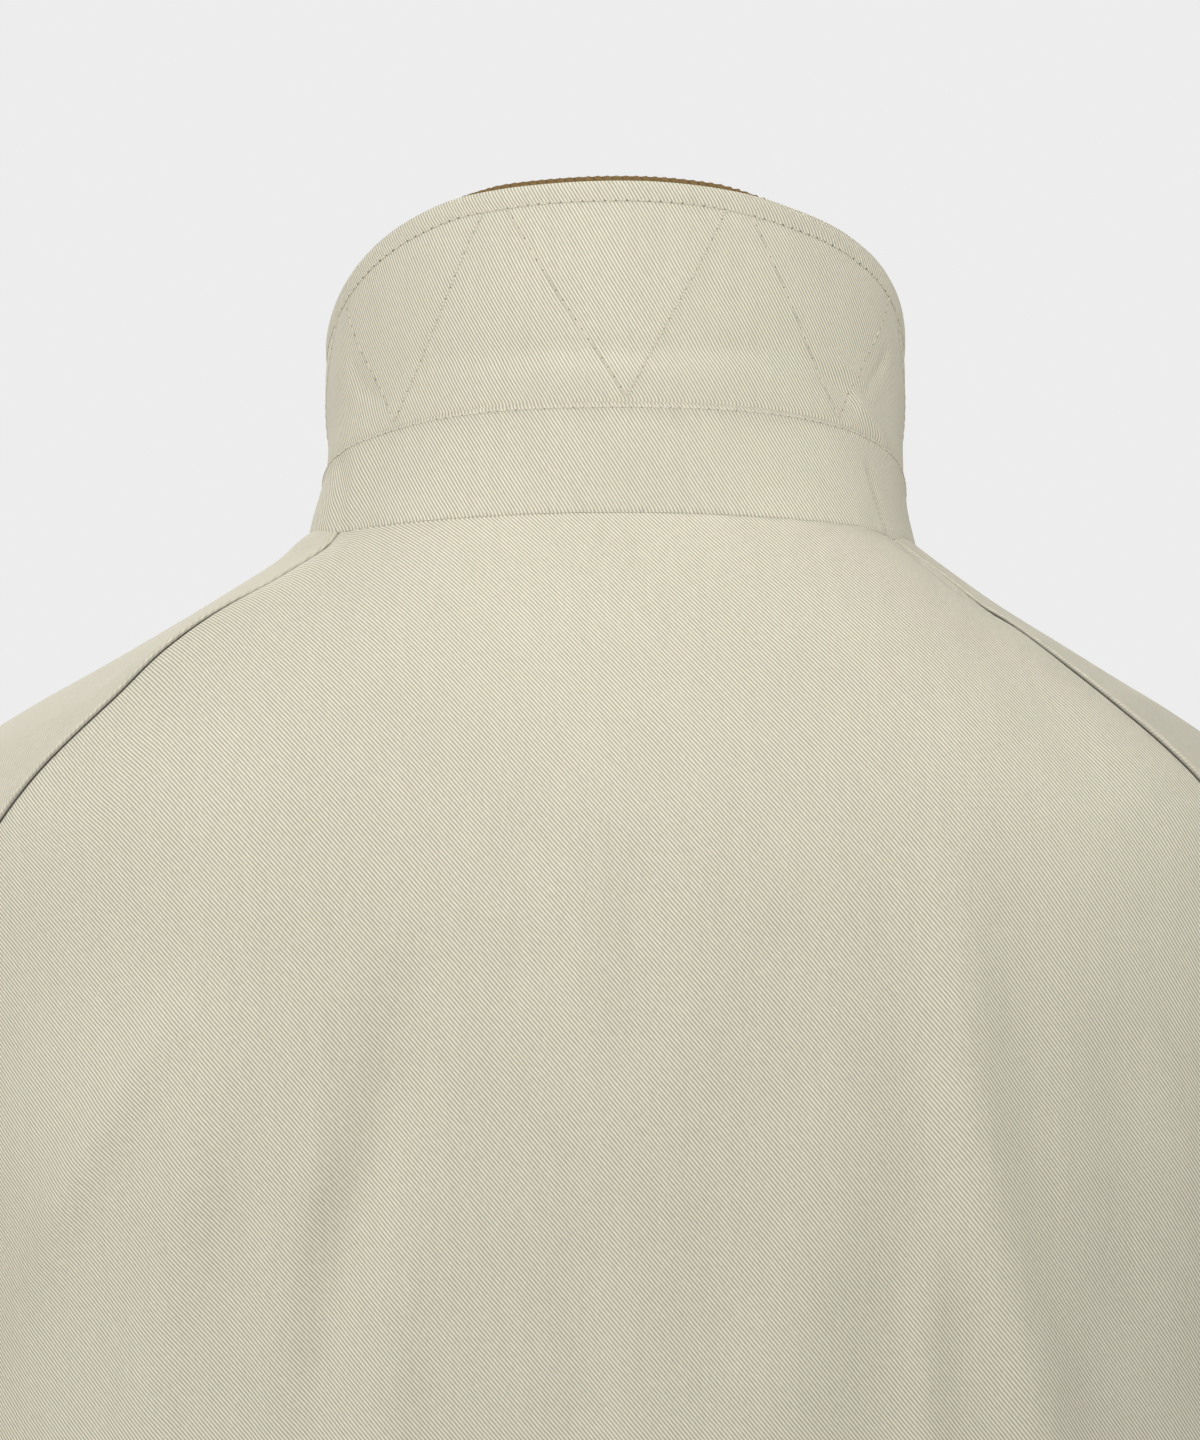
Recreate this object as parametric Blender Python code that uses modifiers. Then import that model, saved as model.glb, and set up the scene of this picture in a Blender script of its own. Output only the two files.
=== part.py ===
"""A field jacket in its worn form: closed front, raglan sleeves and a turned-up collar.

Metres, +Z up, the front towards -Y and the wearer's left towards +X. The origin lies on the neck's
axis at the height of the back neck seam. The cloth form is one surface through sections; it is cut
along the seams into the panels that a maker would cut, and each panel is a thin closed wall.
"""

import math
from collections import namedtuple

import bmesh
import bpy
import numpy as np
from mathutils import Vector

# ---------------------------------------------------------------- driving sizes, in metres
CLOTH = 0.0012  # cotton gabardine
CORDUROY = 0.0018  # the upper collar
SEAM_GAP = 0.0003
CORDUROY_RISE = 0.0020  # how far the corduroy shows above the undercollar's edge
LAP = 0.022  # how far each front passes the centre line, the left one on top
BUTTON_RADIUS = 0.0100
BUTTON_THICK = 0.0034
BUTTON_SEAT = 0.0002  # the cloth's own bend under a flat button

LAP_RISE = CLOTH + SEAM_GAP

# Counts of faces along the form.
BACK_COLUMNS = 12
SLEEVE_COLUMNS = 12
FRONT_COLUMNS = 8
YOKE_ROWS = 12
SLEEVE_ROWS = 13
STAND_ROWS = 2
LEAF_ROWS = 4

# Each yoke section runs from the centre back over the raglan seams and the shoulder to the centre front.
Yoke = namedtuple(
    "Yoke",
    "back_y back_z  bseam_x bseam_y bseam_z  ridge_x ridge_y ridge_z"
    "  fseam_x fseam_y fseam_z  front_y front_z",
)
YOKE = [
    Yoke(0.075, 0.000, 0.093, 0.038, -0.003, 0.102, -0.004, -0.004, 0.088, -0.044, -0.030, -0.078, -0.086),
    Yoke(0.098, -0.040, 0.135, 0.062, -0.038, 0.154, -0.008, -0.037, 0.118, -0.074, -0.064, -0.101, -0.114),
    Yoke(0.114, -0.082, 0.173, 0.074, -0.070, 0.203, -0.010, -0.068, 0.149, -0.094, -0.098, -0.118, -0.144),
    Yoke(0.125, -0.126, 0.205, 0.076, -0.103, 0.245, -0.009, -0.099, 0.180, -0.102, -0.135, -0.129, -0.175),
    Yoke(0.131, -0.172, 0.223, 0.064, -0.150, 0.281, -0.006, -0.136, 0.206, -0.094, -0.176, -0.136, -0.208),
    Yoke(0.133, -0.218, 0.231, 0.040, -0.206, 0.313, -0.001, -0.179, 0.223, -0.062, -0.221, -0.140, -0.240),
    Yoke(0.133, -0.262, 0.233, 0.004, -0.262, 0.341, 0.004, -0.226, 0.233, 0.004, -0.262, -0.142, -0.270),
]
UPPER_ARM_DEPTH = 0.073  # half the sleeve's depth, front to back, at the underarm
RIGHT_HANG = 0.0062  # the right shoulder hangs this much below, and the left this much above, the table

# Body sections below the underarm.
Body = namedtuple("Body", "z half_width side_y back_y front_y")
BODY = [
    Body(-0.300, 0.236, 0.002, 0.132, -0.143),
    Body(-0.345, 0.237, 0.000, 0.130, -0.144),
    Body(-0.390, 0.237, 0.000, 0.128, -0.144),
    Body(-0.435, 0.238, -0.001, 0.127, -0.143),
    Body(-0.462, 0.239, -0.001, 0.127, -0.143),
    Body(-0.490, 0.240, -0.001, 0.127, -0.142),
    Body(-0.520, 0.241, -0.001, 0.127, -0.141),
    Body(-0.560, 0.242, -0.001, 0.128, -0.140),
    Body(-0.600, 0.243, -0.001, 0.129, -0.139),
    Body(-0.640, 0.244, -0.001, 0.130, -0.138),
    Body(-0.680, 0.245, -0.001, 0.131, -0.137),
    Body(-0.710, 0.245, -0.001, 0.131, -0.136),
    Body(-0.740, 0.245, -0.001, 0.131, -0.136),
]

# Sleeve rings below the underarm, from the upper arm to the cuff.
Ring = namedtuple("Ring", "x y z half_across half_deep")
SLEEVE = [
    Ring(0.304, 0.004, -0.300, 0.061, 0.072),
    Ring(0.316, 0.003, -0.370, 0.060, 0.069),
    Ring(0.324, -0.002, -0.440, 0.058, 0.066),
    Ring(0.330, -0.011, -0.510, 0.055, 0.062),
    Ring(0.335, -0.024, -0.580, 0.052, 0.058),
    Ring(0.339, -0.040, -0.650, 0.048, 0.053),
]

# Rings of the collar: the seam between stand and leaf, and the leaf's outer edge.
# Heights are read at 0, 45, 90, 135 and 180 degrees round from the centre back.
Band = namedtuple("Band", "half_width back_y front_y front_x heights")
STAND_TOP = Band(0.0975, 0.0750, -0.0820, 0.0006, (0.0364, 0.0330, 0.0170, -0.0230, -0.0560))
LEAF_EDGE = Band(0.0985, 0.0790, -0.1180, 0.0300, (0.1085, 0.0995, 0.0660, 0.0310, 0.0120))

ROLL_DENT = 0.0015  # the crease where the leaf is turned down in wear

# Soft folds of the cloth: a line from one point to another on a panel, its half width and the depth
# that it grows to at its foot.
Fold = namedtuple("Fold", "panel from_x from_z to_x to_z half_width depth")
FOLDS = [
    Fold("back", 0.112, -0.200, 0.100, -0.740, 0.036, 0.0100),
    Fold("back", 0.046, -0.320, 0.028, -0.760, 0.028, 0.0070),
    Fold("back", -0.030, -0.380, -0.044, -0.760, 0.028, 0.0060),
    Fold("back", -0.118, -0.150, -0.106, -0.740, 0.038, 0.0105),
    Fold("back", -0.196, -0.180, -0.186, -0.740, 0.030, 0.0080),
    Fold("back", 0.198, -0.180, 0.176, -0.740, 0.030, 0.0090),
    Fold("front_left", 0.120, -0.180, 0.094, -0.740, 0.032, 0.0100),
    Fold("front_left", 0.205, -0.230, 0.180, -0.740, 0.028, 0.0080),
    Fold("front_right", -0.132, -0.190, -0.088, -0.740, 0.034, 0.0090),
    Fold("front_right", -0.198, -0.250, -0.192, -0.740, 0.028, 0.0085),
]
# Creases round the sleeves: height, slope across the sleeve, half width and depth.
Crease = namedtuple("Crease", "z slope half_width depth")
CREASES = [
    Crease(-0.335, 0.35, 0.016, 0.0045),
    Crease(-0.392, -0.30, 0.016, 0.0060),
    Crease(-0.440, 0.25, 0.015, 0.0065),
    Crease(-0.492, -0.35, 0.016, 0.0050),
    Crease(-0.552, 0.30, 0.017, 0.0045),
    Crease(-0.612, -0.20, 0.015, 0.0040),
]
SMOOTHING_PASSES = 8

# Heights of the buttons on the centre front.
BUTTON_HEIGHTS = (-0.112, -0.226, -0.340, -0.454, -0.568)

# Colours are linear RGB, with roughness.
FINISHES = {
    "gabardine": ((0.68, 0.64, 0.53), 0.85),
    "corduroy": ((0.20, 0.125, 0.055), 0.95),
    "horn": ((0.13, 0.070, 0.032), 0.35),
}


# ---------------------------------------------------------------- curves
def along(rows, share):
    """The values at share, 0 to 1, of a Catmull-Rom curve through a table's rows."""
    values = np.array(rows, float)
    place = share * (len(values) - 1)
    i = min(int(place), len(values) - 2)
    t = place - i
    here, there = values[i], values[i + 1]
    before = values[i - 1] if i > 0 else 2 * here - there
    after = values[i + 2] if i + 2 < len(values) else 2 * there - here
    return 0.5 * (
        2 * here
        + (there - before) * t
        + (2 * before - 5 * here + 4 * there - after) * t**2
        + (3 * here - before - 3 * there + after) * t**3
    )


def smooth_step(x, low, high):
    """0 below low, 1 above high and a soft rise between."""
    t = min(max((x - low) / (high - low), 0.0), 1.0)
    return t * t * (3 - 2 * t)


def unit(vector):
    return vector / np.linalg.norm(vector)


def bezier_points(start, start_handle, end_handle, end, places):
    """Points on a cubic Bezier curve at the given places, 0 to 1, of its length."""
    t = np.linspace(0, 1, 65)[:, None]
    curve = (
        start * (1 - t) ** 3
        + 3 * start_handle * t * (1 - t) ** 2
        + 3 * end_handle * t**2 * (1 - t)
        + end * t**3
    )
    run = np.concatenate([[0], np.cumsum(np.linalg.norm(np.diff(curve, axis=0), axis=1))])
    wanted = np.asarray(places) * run[-1]
    return np.stack([np.interp(wanted, run, curve[:, k]) for k in range(3)], axis=1)


def arc_points(first, middle, last, count):
    """count + 1 points on the circle through three points, half of them on each side of the middle one,
    and the circle's directions at its first and last point."""
    to_middle, to_last = middle - first, last - first
    normal = np.cross(to_middle, to_last)
    centre = first + (
        np.cross(normal, to_middle) * to_last.dot(to_last) + np.cross(to_last, normal) * to_middle.dot(to_middle)
    ) / (2 * normal.dot(normal))
    radius = np.linalg.norm(first - centre)
    across = unit(first - centre)
    onward = unit(np.cross(normal, across))
    turns = [math.atan2((p - centre).dot(onward), (p - centre).dot(across)) % math.tau for p in (middle, last)]
    half = count // 2
    angles = np.concatenate([np.linspace(0, turns[0], half + 1), np.linspace(turns[0], turns[1], half + 1)[1:]])
    points = [centre + radius * (math.cos(a) * across + math.sin(a) * onward) for a in angles]
    last_way = -math.sin(turns[1]) * across + math.cos(turns[1]) * onward
    return np.array(points), onward, last_way


def ring_points(centre, outward, backward, half_across, half_deep, count):
    """A closed ring from its inner side, over its back and its outer side, round to the start."""
    angles = np.linspace(0, math.tau, count + 1)
    return np.array(
        [centre - math.cos(a) * half_across * outward + math.sin(a) * half_deep * backward for a in angles]
    )


# ---------------------------------------------------------------- sections of the left half
def front_places(length):
    """Places along a front row, from its outer end: its last face is as wide as the lap."""
    inner = 1 - LAP / length
    return np.append(np.linspace(0, inner, FRONT_COLUMNS), 1.0)


def quarter(centre, side, side_way, wrap, places_of):
    """A row from the centre line to a seam. wrap goes from 0, a shallow arc, to 1, a quarter of an oval."""
    chord = np.linalg.norm(side - centre)
    start_reach = (1 - wrap) * 0.38 * chord + wrap * 0.62 * abs(side[0])
    end_reach = (1 - wrap) * 0.38 * chord + wrap * 0.62 * abs(side[1] - centre[1])
    start_handle = centre + np.array([start_reach, 0, 0])
    end_handle = side - end_reach * unit(side_way)
    return bezier_points(centre, start_handle, end_handle, side, places_of(chord))


def even_places(count):
    return lambda _length: np.linspace(0, 1, count + 1)


def mirrored_front_places(length):
    return 1 - front_places(length)[::-1]


def yoke_row(share):
    """Points of the back, the sleeve and the front on the yoke section at share, 0 at the neck."""
    s = Yoke(*along(YOKE, share))
    back, front = np.array([0, s.back_y, s.back_z]), np.array([0, s.front_y, s.front_z])
    bseam = np.array([s.bseam_x, s.bseam_y, s.bseam_z])
    fseam = np.array([s.fseam_x, s.fseam_y, s.fseam_z])
    ridge = np.array([s.ridge_x, s.ridge_y, s.ridge_z])
    if share < 1:
        sleeve, back_way, front_way = arc_points(bseam, ridge, fseam, SLEEVE_COLUMNS)
    else:
        sleeve = upper_arm_ring()
        back_way, front_way = np.array([0, 1.0, 0]), np.array([0, 1.0, 0])
    level = smooth_step(share, 0.0, 0.35)
    back_way = back_way * (1, 1, level)
    wrap = smooth_step(share, 0.45, 1.0)
    back_way = unit((1 - wrap) * back_way + wrap * np.array([0, -1.0, 0]))
    front_way = unit((1 - wrap) * -front_way + wrap * np.array([0, 1.0, 0]))
    back_row = quarter(back, bseam, back_way, wrap, even_places(BACK_COLUMNS))
    front_row = quarter(front, fseam, front_way, wrap, mirrored_front_places)
    return back_row, sleeve, front_row[::-1]


def upper_arm_ring():
    """The sleeve's ring at the underarm, a circle on the line from the underarm to the ridge."""
    s = YOKE[-1]
    underarm = np.array([s.bseam_x, s.bseam_y, s.bseam_z])
    ridge = np.array([s.ridge_x, s.ridge_y, s.ridge_z])
    radius = np.linalg.norm(ridge - underarm) / 2
    return ring_points(
        (underarm + ridge) / 2, unit(ridge - underarm), np.array([0, 1.0, 0]), radius, UPPER_ARM_DEPTH, SLEEVE_COLUMNS
    )


def body_row(section):
    """Points of the back and of the front on a body section, both with the side seam at one end."""
    side = np.array([section.half_width, section.side_y, section.z])
    back = np.array([0, section.back_y, section.z])
    front = np.array([0, section.front_y, section.z])
    back_row = quarter(back, side, np.array([0, -1.0, 0]), 1.0, even_places(BACK_COLUMNS))
    front_row = quarter(front, side, np.array([0, 1.0, 0]), 1.0, mirrored_front_places)
    return back_row, front_row[::-1]


def sleeve_rings():
    """The sleeve's rings below the underarm, square to the arm's line."""
    first = upper_arm_ring()
    start = Ring(*(first[0] + first[SLEEVE_COLUMNS // 2]) / 2, 0.058, UPPER_ARM_DEPTH)
    table = [start, *SLEEVE]
    rings = []
    for i in range(1, SLEEVE_ROWS + 1):
        share = i / SLEEVE_ROWS
        here = Ring(*along(table, share))
        ahead, behind = along(table, min(share + 0.04, 1)), along(table, share - 0.04)
        down = unit(ahead[:3] - behind[:3])
        outward = unit(np.cross(down, np.array([0, 1.0, 0])))
        if outward[0] < 0:
            outward = -outward
        backward = unit(np.cross(outward, down))
        if backward[1] < 0:
            backward = -backward
        centre = np.array([here.x, here.y, here.z])
        rings.append(ring_points(centre, outward, backward, here.half_across, here.half_deep, SLEEVE_COLUMNS))
    return rings


# ---------------------------------------------------------------- the joined form
class Form:
    """The garment's surface as one mesh, with the grid of vertices of each panel."""

    def __init__(self):
        self.mesh = bmesh.new()
        self.at = {}
        self.faces = {}
        self.grids = {}

    def vertex(self, point):
        key = tuple(int(round(c * 1e6)) for c in point)
        if key not in self.at:
            self.at[key] = self.mesh.verts.new(point)
        return self.at[key]

    def add(self, panel, rows, side):
        """Adds a grid of points to a panel; side is -1 for the mirror image."""
        grid = [[self.vertex((side * x, y, z)) for x, y, z in row] for row in rows]
        made = self.faces.setdefault(panel, [])
        for upper, lower in zip(grid, grid[1:]):
            for a, b, c, d in zip(upper, upper[1:], lower[1:], lower):
                loop = [a, d, c, b] if side < 0 else [a, b, c, d]
                made.append(self.mesh.faces.new(loop))
        self.grids[panel, side] = grid

    def rim(self):
        return {v for e in self.mesh.edges if e.is_boundary for v in e.verts}


def build_form():
    """Joins the panels' grids, smooths them together and presses the folds in."""
    form = Form()
    yoke = [yoke_row(i / YOKE_ROWS) for i in range(YOKE_ROWS + 1)]
    body = [body_row(section) for section in BODY]
    back = [row[0] for row in yoke] + [row[0] for row in body]
    front = [row[2] for row in yoke] + [row[1] for row in body]
    sleeve = [row[1] for row in yoke] + sleeve_rings()
    for side, name in ((1, "left"), (-1, "right")):
        form.add("back", back, side)
        form.add(f"sleeve_{name}", sleeve, side)
        form.add(f"front_{name}", front, side)
    mesh = form.mesh
    fixed = form.rim()
    inner = [v for v in mesh.verts if v not in fixed]
    for _ in range(SMOOTHING_PASSES):
        relax(inner, 0.5)
        relax(inner, -0.52)
    for v in mesh.verts:
        v.co.z += hang(v.co)
    mesh.normal_update()
    press_folds(form)
    press_creases(form)
    mesh.normal_update()
    return form


def relax(vertices, factor):
    """Moves each vertex a share of the way to its neighbours' middle. A step back follows each step
    forward, so bumps go and the sizes stay."""
    moves = {}
    for v in vertices:
        near = [e.other_vert(v).co for e in v.link_edges]
        moves[v] = factor * (sum(near, Vector()) / len(near) - v.co)
    for v, move in moves.items():
        v.co += move


def hang(point):
    """How much a point of the left side is raised and of the right side lowered."""
    outward = smooth_step(abs(point.x), 0.095, 0.150)
    fade = 1 - smooth_step(-point.z, 0.300, 0.600)
    return math.copysign(RIGHT_HANG, point.x) * outward * fade


def ridge_profile(distance, half_width):
    """1 on a fold's line, with a shallow trough on each side, fading to 0."""
    t = distance / half_width
    return math.exp(-t * t) * (1 - 0.45 * t * t)


def press_folds(form):
    """Moves the points near each fold's line along their normals."""
    moves = {}
    for fold in FOLDS:
        start, end = Vector((fold.from_x, fold.from_z)), Vector((fold.to_x, fold.to_z))
        way = (end - start).normalized()
        length = (end - start).length
        for v in {v for f in form.faces[fold.panel] for v in f.verts}:
            place = Vector((v.co.x, v.co.z)) - start
            run = place.dot(way) / length
            across = abs(place.x * way.y - place.y * way.x)
            fade = smooth_step(run, 0.0, 0.7)
            moves[v] = moves.get(v, 0) + fold.depth * fade * ridge_profile(across, fold.half_width)
    shift(moves)


def press_creases(form):
    """Presses slanting creases into both sleeves, deepest on the inner and front side of the elbow."""
    moves = {}
    for side, name in ((1, "left"), (-1, "right")):
        centre_x = SLEEVE[2].x
        for v in {v for f in form.faces[f"sleeve_{name}"] for v in f.verts}:
            for n, crease in enumerate(CREASES):
                slant = crease.slope * (side * v.co.x - centre_x) * (1 if side > 0 else -1)
                across = v.co.z - crease.z - slant
                round_arm = math.cos(math.atan2(v.co.y, side * v.co.x - centre_x) + 0.9 * n)
                strength = 0.35 + 0.65 * max(round_arm, 0)
                moves[v] = moves.get(v, 0) + crease.depth * strength * ridge_profile(across, crease.half_width)
    shift(moves)


def shift(moves):
    """Moves points along their normals; the hem follows its folds, the neck and the cuffs stay."""
    for vertex, distance in moves.items():
        if not vertex.is_boundary or vertex.co.z < BODY[-2].z:
            out = vertex.normal.copy()
            if vertex.is_boundary:
                out.z = 0
                out.normalize()
            vertex.co += out * distance


# ---------------------------------------------------------------- walls
def cloth(name, quads, points, normals, lift, thickness, finish, draw_in=0.5 * SEAM_GAP):
    """A piece of cloth over some quads. Its outer side lies lift out from the points, a number for each
    one, and its edge is drawn in along the cloth. The sheet is then extruded inwards along the normals
    given. Neighbours share these at a seam, so their walls stay parallel across the gap."""
    edges = {}
    for quad in quads:
        for a, b in zip(quad, quad[1:] + quad[:1]):
            edges.setdefault(frozenset((a, b)), []).append((a, b, quad))
    inward = {}
    for a, b, quad in (used[0] for used in edges.values() if len(used) == 1):
        middle = sum((points[i] for i in quad), Vector()) / 4
        edge = (points[b] - points[a]).normalized()
        into = middle - points[a]
        into = (into - edge * into.dot(edge)).normalized()
        for i in (a, b):
            inward[i] = inward.get(i, Vector()) + into
    bm = bmesh.new()
    out = bm.verts.layers.float_vector.new("out")
    made = {}
    for i in sorted({i for quad in quads for i in quad}):
        place = points[i] + normals[i] * lift[i]
        if i in inward:
            place = place + inward[i].normalized() * draw_in
        made[i] = bm.verts.new(place)
        made[i][out] = normals[i]
    for a, b, c, d in quads:
        bm.faces.new([made[i] for i in (a, b, c)])
        bm.faces.new([made[i] for i in (a, c, d)])
    extruded = bmesh.ops.extrude_face_region(bm, geom=bm.faces[:], use_keep_orig=True)["geom"]
    for v in extruded:
        if isinstance(v, bmesh.types.BMVert):
            v.co -= v[out] * thickness
    bm.verts.layers.float_vector.remove(out)
    bmesh.ops.recalc_face_normals(bm, faces=bm.faces)
    return as_object(name, bm, finish)


def as_object(name, bm, finish):
    """Makes a bmesh an object in the jacket's collection, smooth and with its finish."""
    mesh = bpy.data.meshes.new(name)
    bm.to_mesh(mesh)
    bm.free()
    mesh.shade_smooth()
    mesh.set_sharp_from_angle(angle=math.radians(40))
    mesh.materials.append(material(finish))
    obj = bpy.data.objects.new(name, mesh)
    bpy.data.collections["field_jacket"].objects.link(obj)
    return obj


def material(finish):
    """The Principled material of a finish, made once."""
    if finish in bpy.data.materials:
        return bpy.data.materials[finish]
    colour, roughness = FINISHES[finish]
    made = bpy.data.materials.new(finish)
    made.use_nodes = True
    shader = made.node_tree.nodes["Principled BSDF"]
    shader.inputs["Base Color"].default_value = (*colour, 1)
    shader.inputs["Roughness"].default_value = roughness
    shader.inputs["Metallic"].default_value = 0.0
    return made


def panel(form, name, lift_of=None, extra=()):
    """One of the form's panels as cloth. extra holds the neighbour's faces that it laps over or under."""
    faces = [*form.faces[name], *extra]
    vertices = list(dict.fromkeys(v for f in faces for v in f.verts))
    index = {v: i for i, v in enumerate(vertices)}
    points = [v.co.copy() for v in vertices]
    normals = [v.normal.copy() for v in vertices]
    quads = [[index[v] for v in f.verts] for f in faces]
    lift = [lift_of(v) if lift_of else 0.0 for v in vertices]
    return cloth(name, quads, points, normals, lift, CLOTH, "gabardine")


def build_fronts(form):
    """Both fronts pass the centre line, and the left one is raised to lie on the right one."""
    left, right = form.grids["front_left", 1], form.grids["front_right", -1]

    def edge_faces(name, grid):
        middle = {row[-1] for row in grid}
        return [f for f in form.faces[name] if middle & set(f.verts)]

    raised = {v for grid in (left, right) for row in grid for v in row[-2:]}
    panel(form, "front_left", lambda v: LAP_RISE if v in raised else 0.0, edge_faces("front_right", right))
    panel(form, "front_right", None, edge_faces("front_left", left))


def grid_cloth(name, grid, normals, lift_of, thickness, finish, draw_in=0.5 * SEAM_GAP):
    """Cloth over a grid of points. lift_of(row, column) is how far its outer side stands off them."""
    rows, columns = len(grid), len(grid[0])
    points = [Vector(point) for row in grid for point in row]
    out = [Vector(normal) for row in normals for normal in row]
    lift = [lift_of(r, c) for r in range(rows) for c in range(columns)]
    quads = []
    for r in range(rows - 1):
        for c in range(columns - 1):
            a = r * columns + c
            quads.append([a, a + 1, a + columns + 1, a + columns])
    return cloth(name, quads, points, out, lift, thickness, finish, draw_in)


def grid_normals(grid):
    """Normals at a grid's points, from the slopes along its rows and columns."""
    points = np.array(grid, float)
    down, across = np.gradient(points, axis=0), np.gradient(points, axis=1)
    normals = np.cross(down, across)
    return normals / np.linalg.norm(normals, axis=2, keepdims=True)


# ---------------------------------------------------------------- collar
def neck_ring(form):
    """The neck edge of the form, from the left centre front round the back to the right centre front."""
    half = []
    for name in ("back", "sleeve_left", "front_left"):
        half += [tuple(v.co) for v in form.grids[name, 1][0]][(1 if half else 0) :]
    other = []
    for name in ("back", "sleeve_right", "front_right"):
        other += [tuple(v.co) for v in form.grids[name, -1][0]][(1 if other else 0) :]
    return np.array(half[::-1] + other[1:])


def band_point(band, turn):
    """A point of a collar ring; turn is in radians from the centre back, negative to the wearer's right."""
    centre_y = (band.back_y + band.front_y) / 2
    depth = (band.back_y - band.front_y) / 2
    opened = band.front_x * smooth_step(abs(turn), math.radians(100), math.pi)
    x = band.half_width * math.sin(abs(turn)) + opened
    heights = [[h] for h in (band.heights[1], *band.heights, band.heights[3])]
    z = along(heights, (1 + abs(turn) / math.pi * 4) / 6)[0]
    return np.array([math.copysign(x, turn), centre_y + depth * math.cos(turn), z])


def collar_grid(form):
    """Rows of points from the leaf's edge down to the neck seam, from the left front to the right front."""
    neck = neck_ring(form)
    turns = [math.atan2(x, y + 0.002) for x, y, _z in neck]
    turns[0], turns[-1] = math.pi, -math.pi
    seam = np.array([band_point(STAND_TOP, t) for t in turns])
    edge = np.array([band_point(LEAF_EDGE, t) for t in turns])
    neck = neck + np.array([[0, 0, SEAM_GAP]])
    neck[0, 0], neck[-1, 0] = STAND_TOP.front_x, -STAND_TOP.front_x
    leaf = [edge + (seam - edge) * k / LEAF_ROWS for k in range(LEAF_ROWS + 1)]
    leaf[-2] = leaf[-2] - ROLL_DENT * grid_normals(leaf)[-2]
    stand = [seam + (neck - seam) * k / STAND_ROWS for k in range(STAND_ROWS + 1)]
    return leaf, stand


def build_collar(form):
    """The stand and the undercollar outside, and the corduroy upper collar inside them."""
    leaf, stand = collar_grid(form)
    whole = np.array([*leaf, *stand[1:]])
    normals = grid_normals(whole)
    grid_cloth("undercollar", leaf, normals[: len(leaf)], lambda r, c: 0.0, CLOTH, "gabardine")
    grid_cloth("collar_stand", stand, normals[len(leaf) - 1 :], lambda r, c: 0.0, CLOTH, "gabardine")
    inside = whole.copy()
    up = whole[0] - whole[1]
    inside[0] += CORDUROY_RISE * up / np.linalg.norm(up, axis=1, keepdims=True)
    grid_cloth("upper_collar", inside, normals, lambda r, c: -(CLOTH + SEAM_GAP), CORDUROY, "corduroy")


# ---------------------------------------------------------------- buttons
def build_button(name, place, normal, radius, lift):
    """A turned button: half its section, spun by a Screw."""
    rim = 0.35 * BUTTON_THICK
    profile = [
        (0.0, BUTTON_THICK - rim),
        (0.55 * radius, BUTTON_THICK - rim),
        (0.72 * radius, BUTTON_THICK),
        (0.92 * radius, BUTTON_THICK),
        (radius, 0.6 * BUTTON_THICK),
        (0.85 * radius, 0.0),
        (0.0, 0.0),
    ]
    bm = bmesh.new()
    ring = [bm.verts.new((r, 0, z)) for r, z in profile]
    for a, b in zip(ring, ring[1:]):
        bm.edges.new((a, b))
    obj = as_object(name, bm, "horn")
    spin = obj.modifiers.new("Screw", "SCREW")
    spin.steps = spin.render_steps = 16
    spin.use_merge_vertices = True
    spin.merge_threshold = 0.0001
    obj.location = place + normal * lift
    obj.rotation_mode = "QUATERNION"
    obj.rotation_quaternion = Vector((0, 0, 1)).rotation_difference(normal)
    return obj


def point_at(grid, column, height):
    """The point and normal on a column of a grid at a height."""
    for above, below in zip(grid, grid[1:]):
        a, b = above[column], below[column]
        if b.co.z <= height <= a.co.z:
            share = (a.co.z - height) / (a.co.z - b.co.z)
            return a.co.lerp(b.co, share), a.normal.lerp(b.normal, share)
    raise ValueError(f"no point at height {height}")


def seat_at(grid, column, height, radius):
    """Where a button of this radius lies flat: its middle, and its normal square to the slope it spans."""
    place, normal = point_at(grid, column, height)
    down = point_at(grid, column, height - radius)[0] - point_at(grid, column, height + radius)[0]
    down.normalize()
    return place, (normal - down * normal.dot(down)).normalized()


def build_buttons(form):
    """The buttons down the centre front, on the left front."""
    for n, height in enumerate(BUTTON_HEIGHTS, 1):
        place, normal = seat_at(form.grids["front_left", 1], -1, height, BUTTON_RADIUS)
        build_button(f"button_{n}", place, normal, BUTTON_RADIUS, LAP_RISE + SEAM_GAP + BUTTON_SEAT)


# ---------------------------------------------------------------- the jacket
def main():
    for obj in list(bpy.data.objects):
        bpy.data.objects.remove(obj)
    jacket = bpy.data.collections.new("field_jacket")
    bpy.context.scene.collection.children.link(jacket)
    form = build_form()
    for name in ("back", "sleeve_left", "sleeve_right"):
        panel(form, name)
    build_fronts(form)
    build_collar(form)
    build_buttons(form)


main()
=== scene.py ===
"""Dresses the field jacket's solids: twill panels, corduroy collar, thread, buttons and a plain stage."""
import math

import bmesh
import bpy
import numpy as np
from mathutils import Matrix, Vector
from mathutils.bvhtree import BVHTree
from mathutils.kdtree import KDTree


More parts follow.
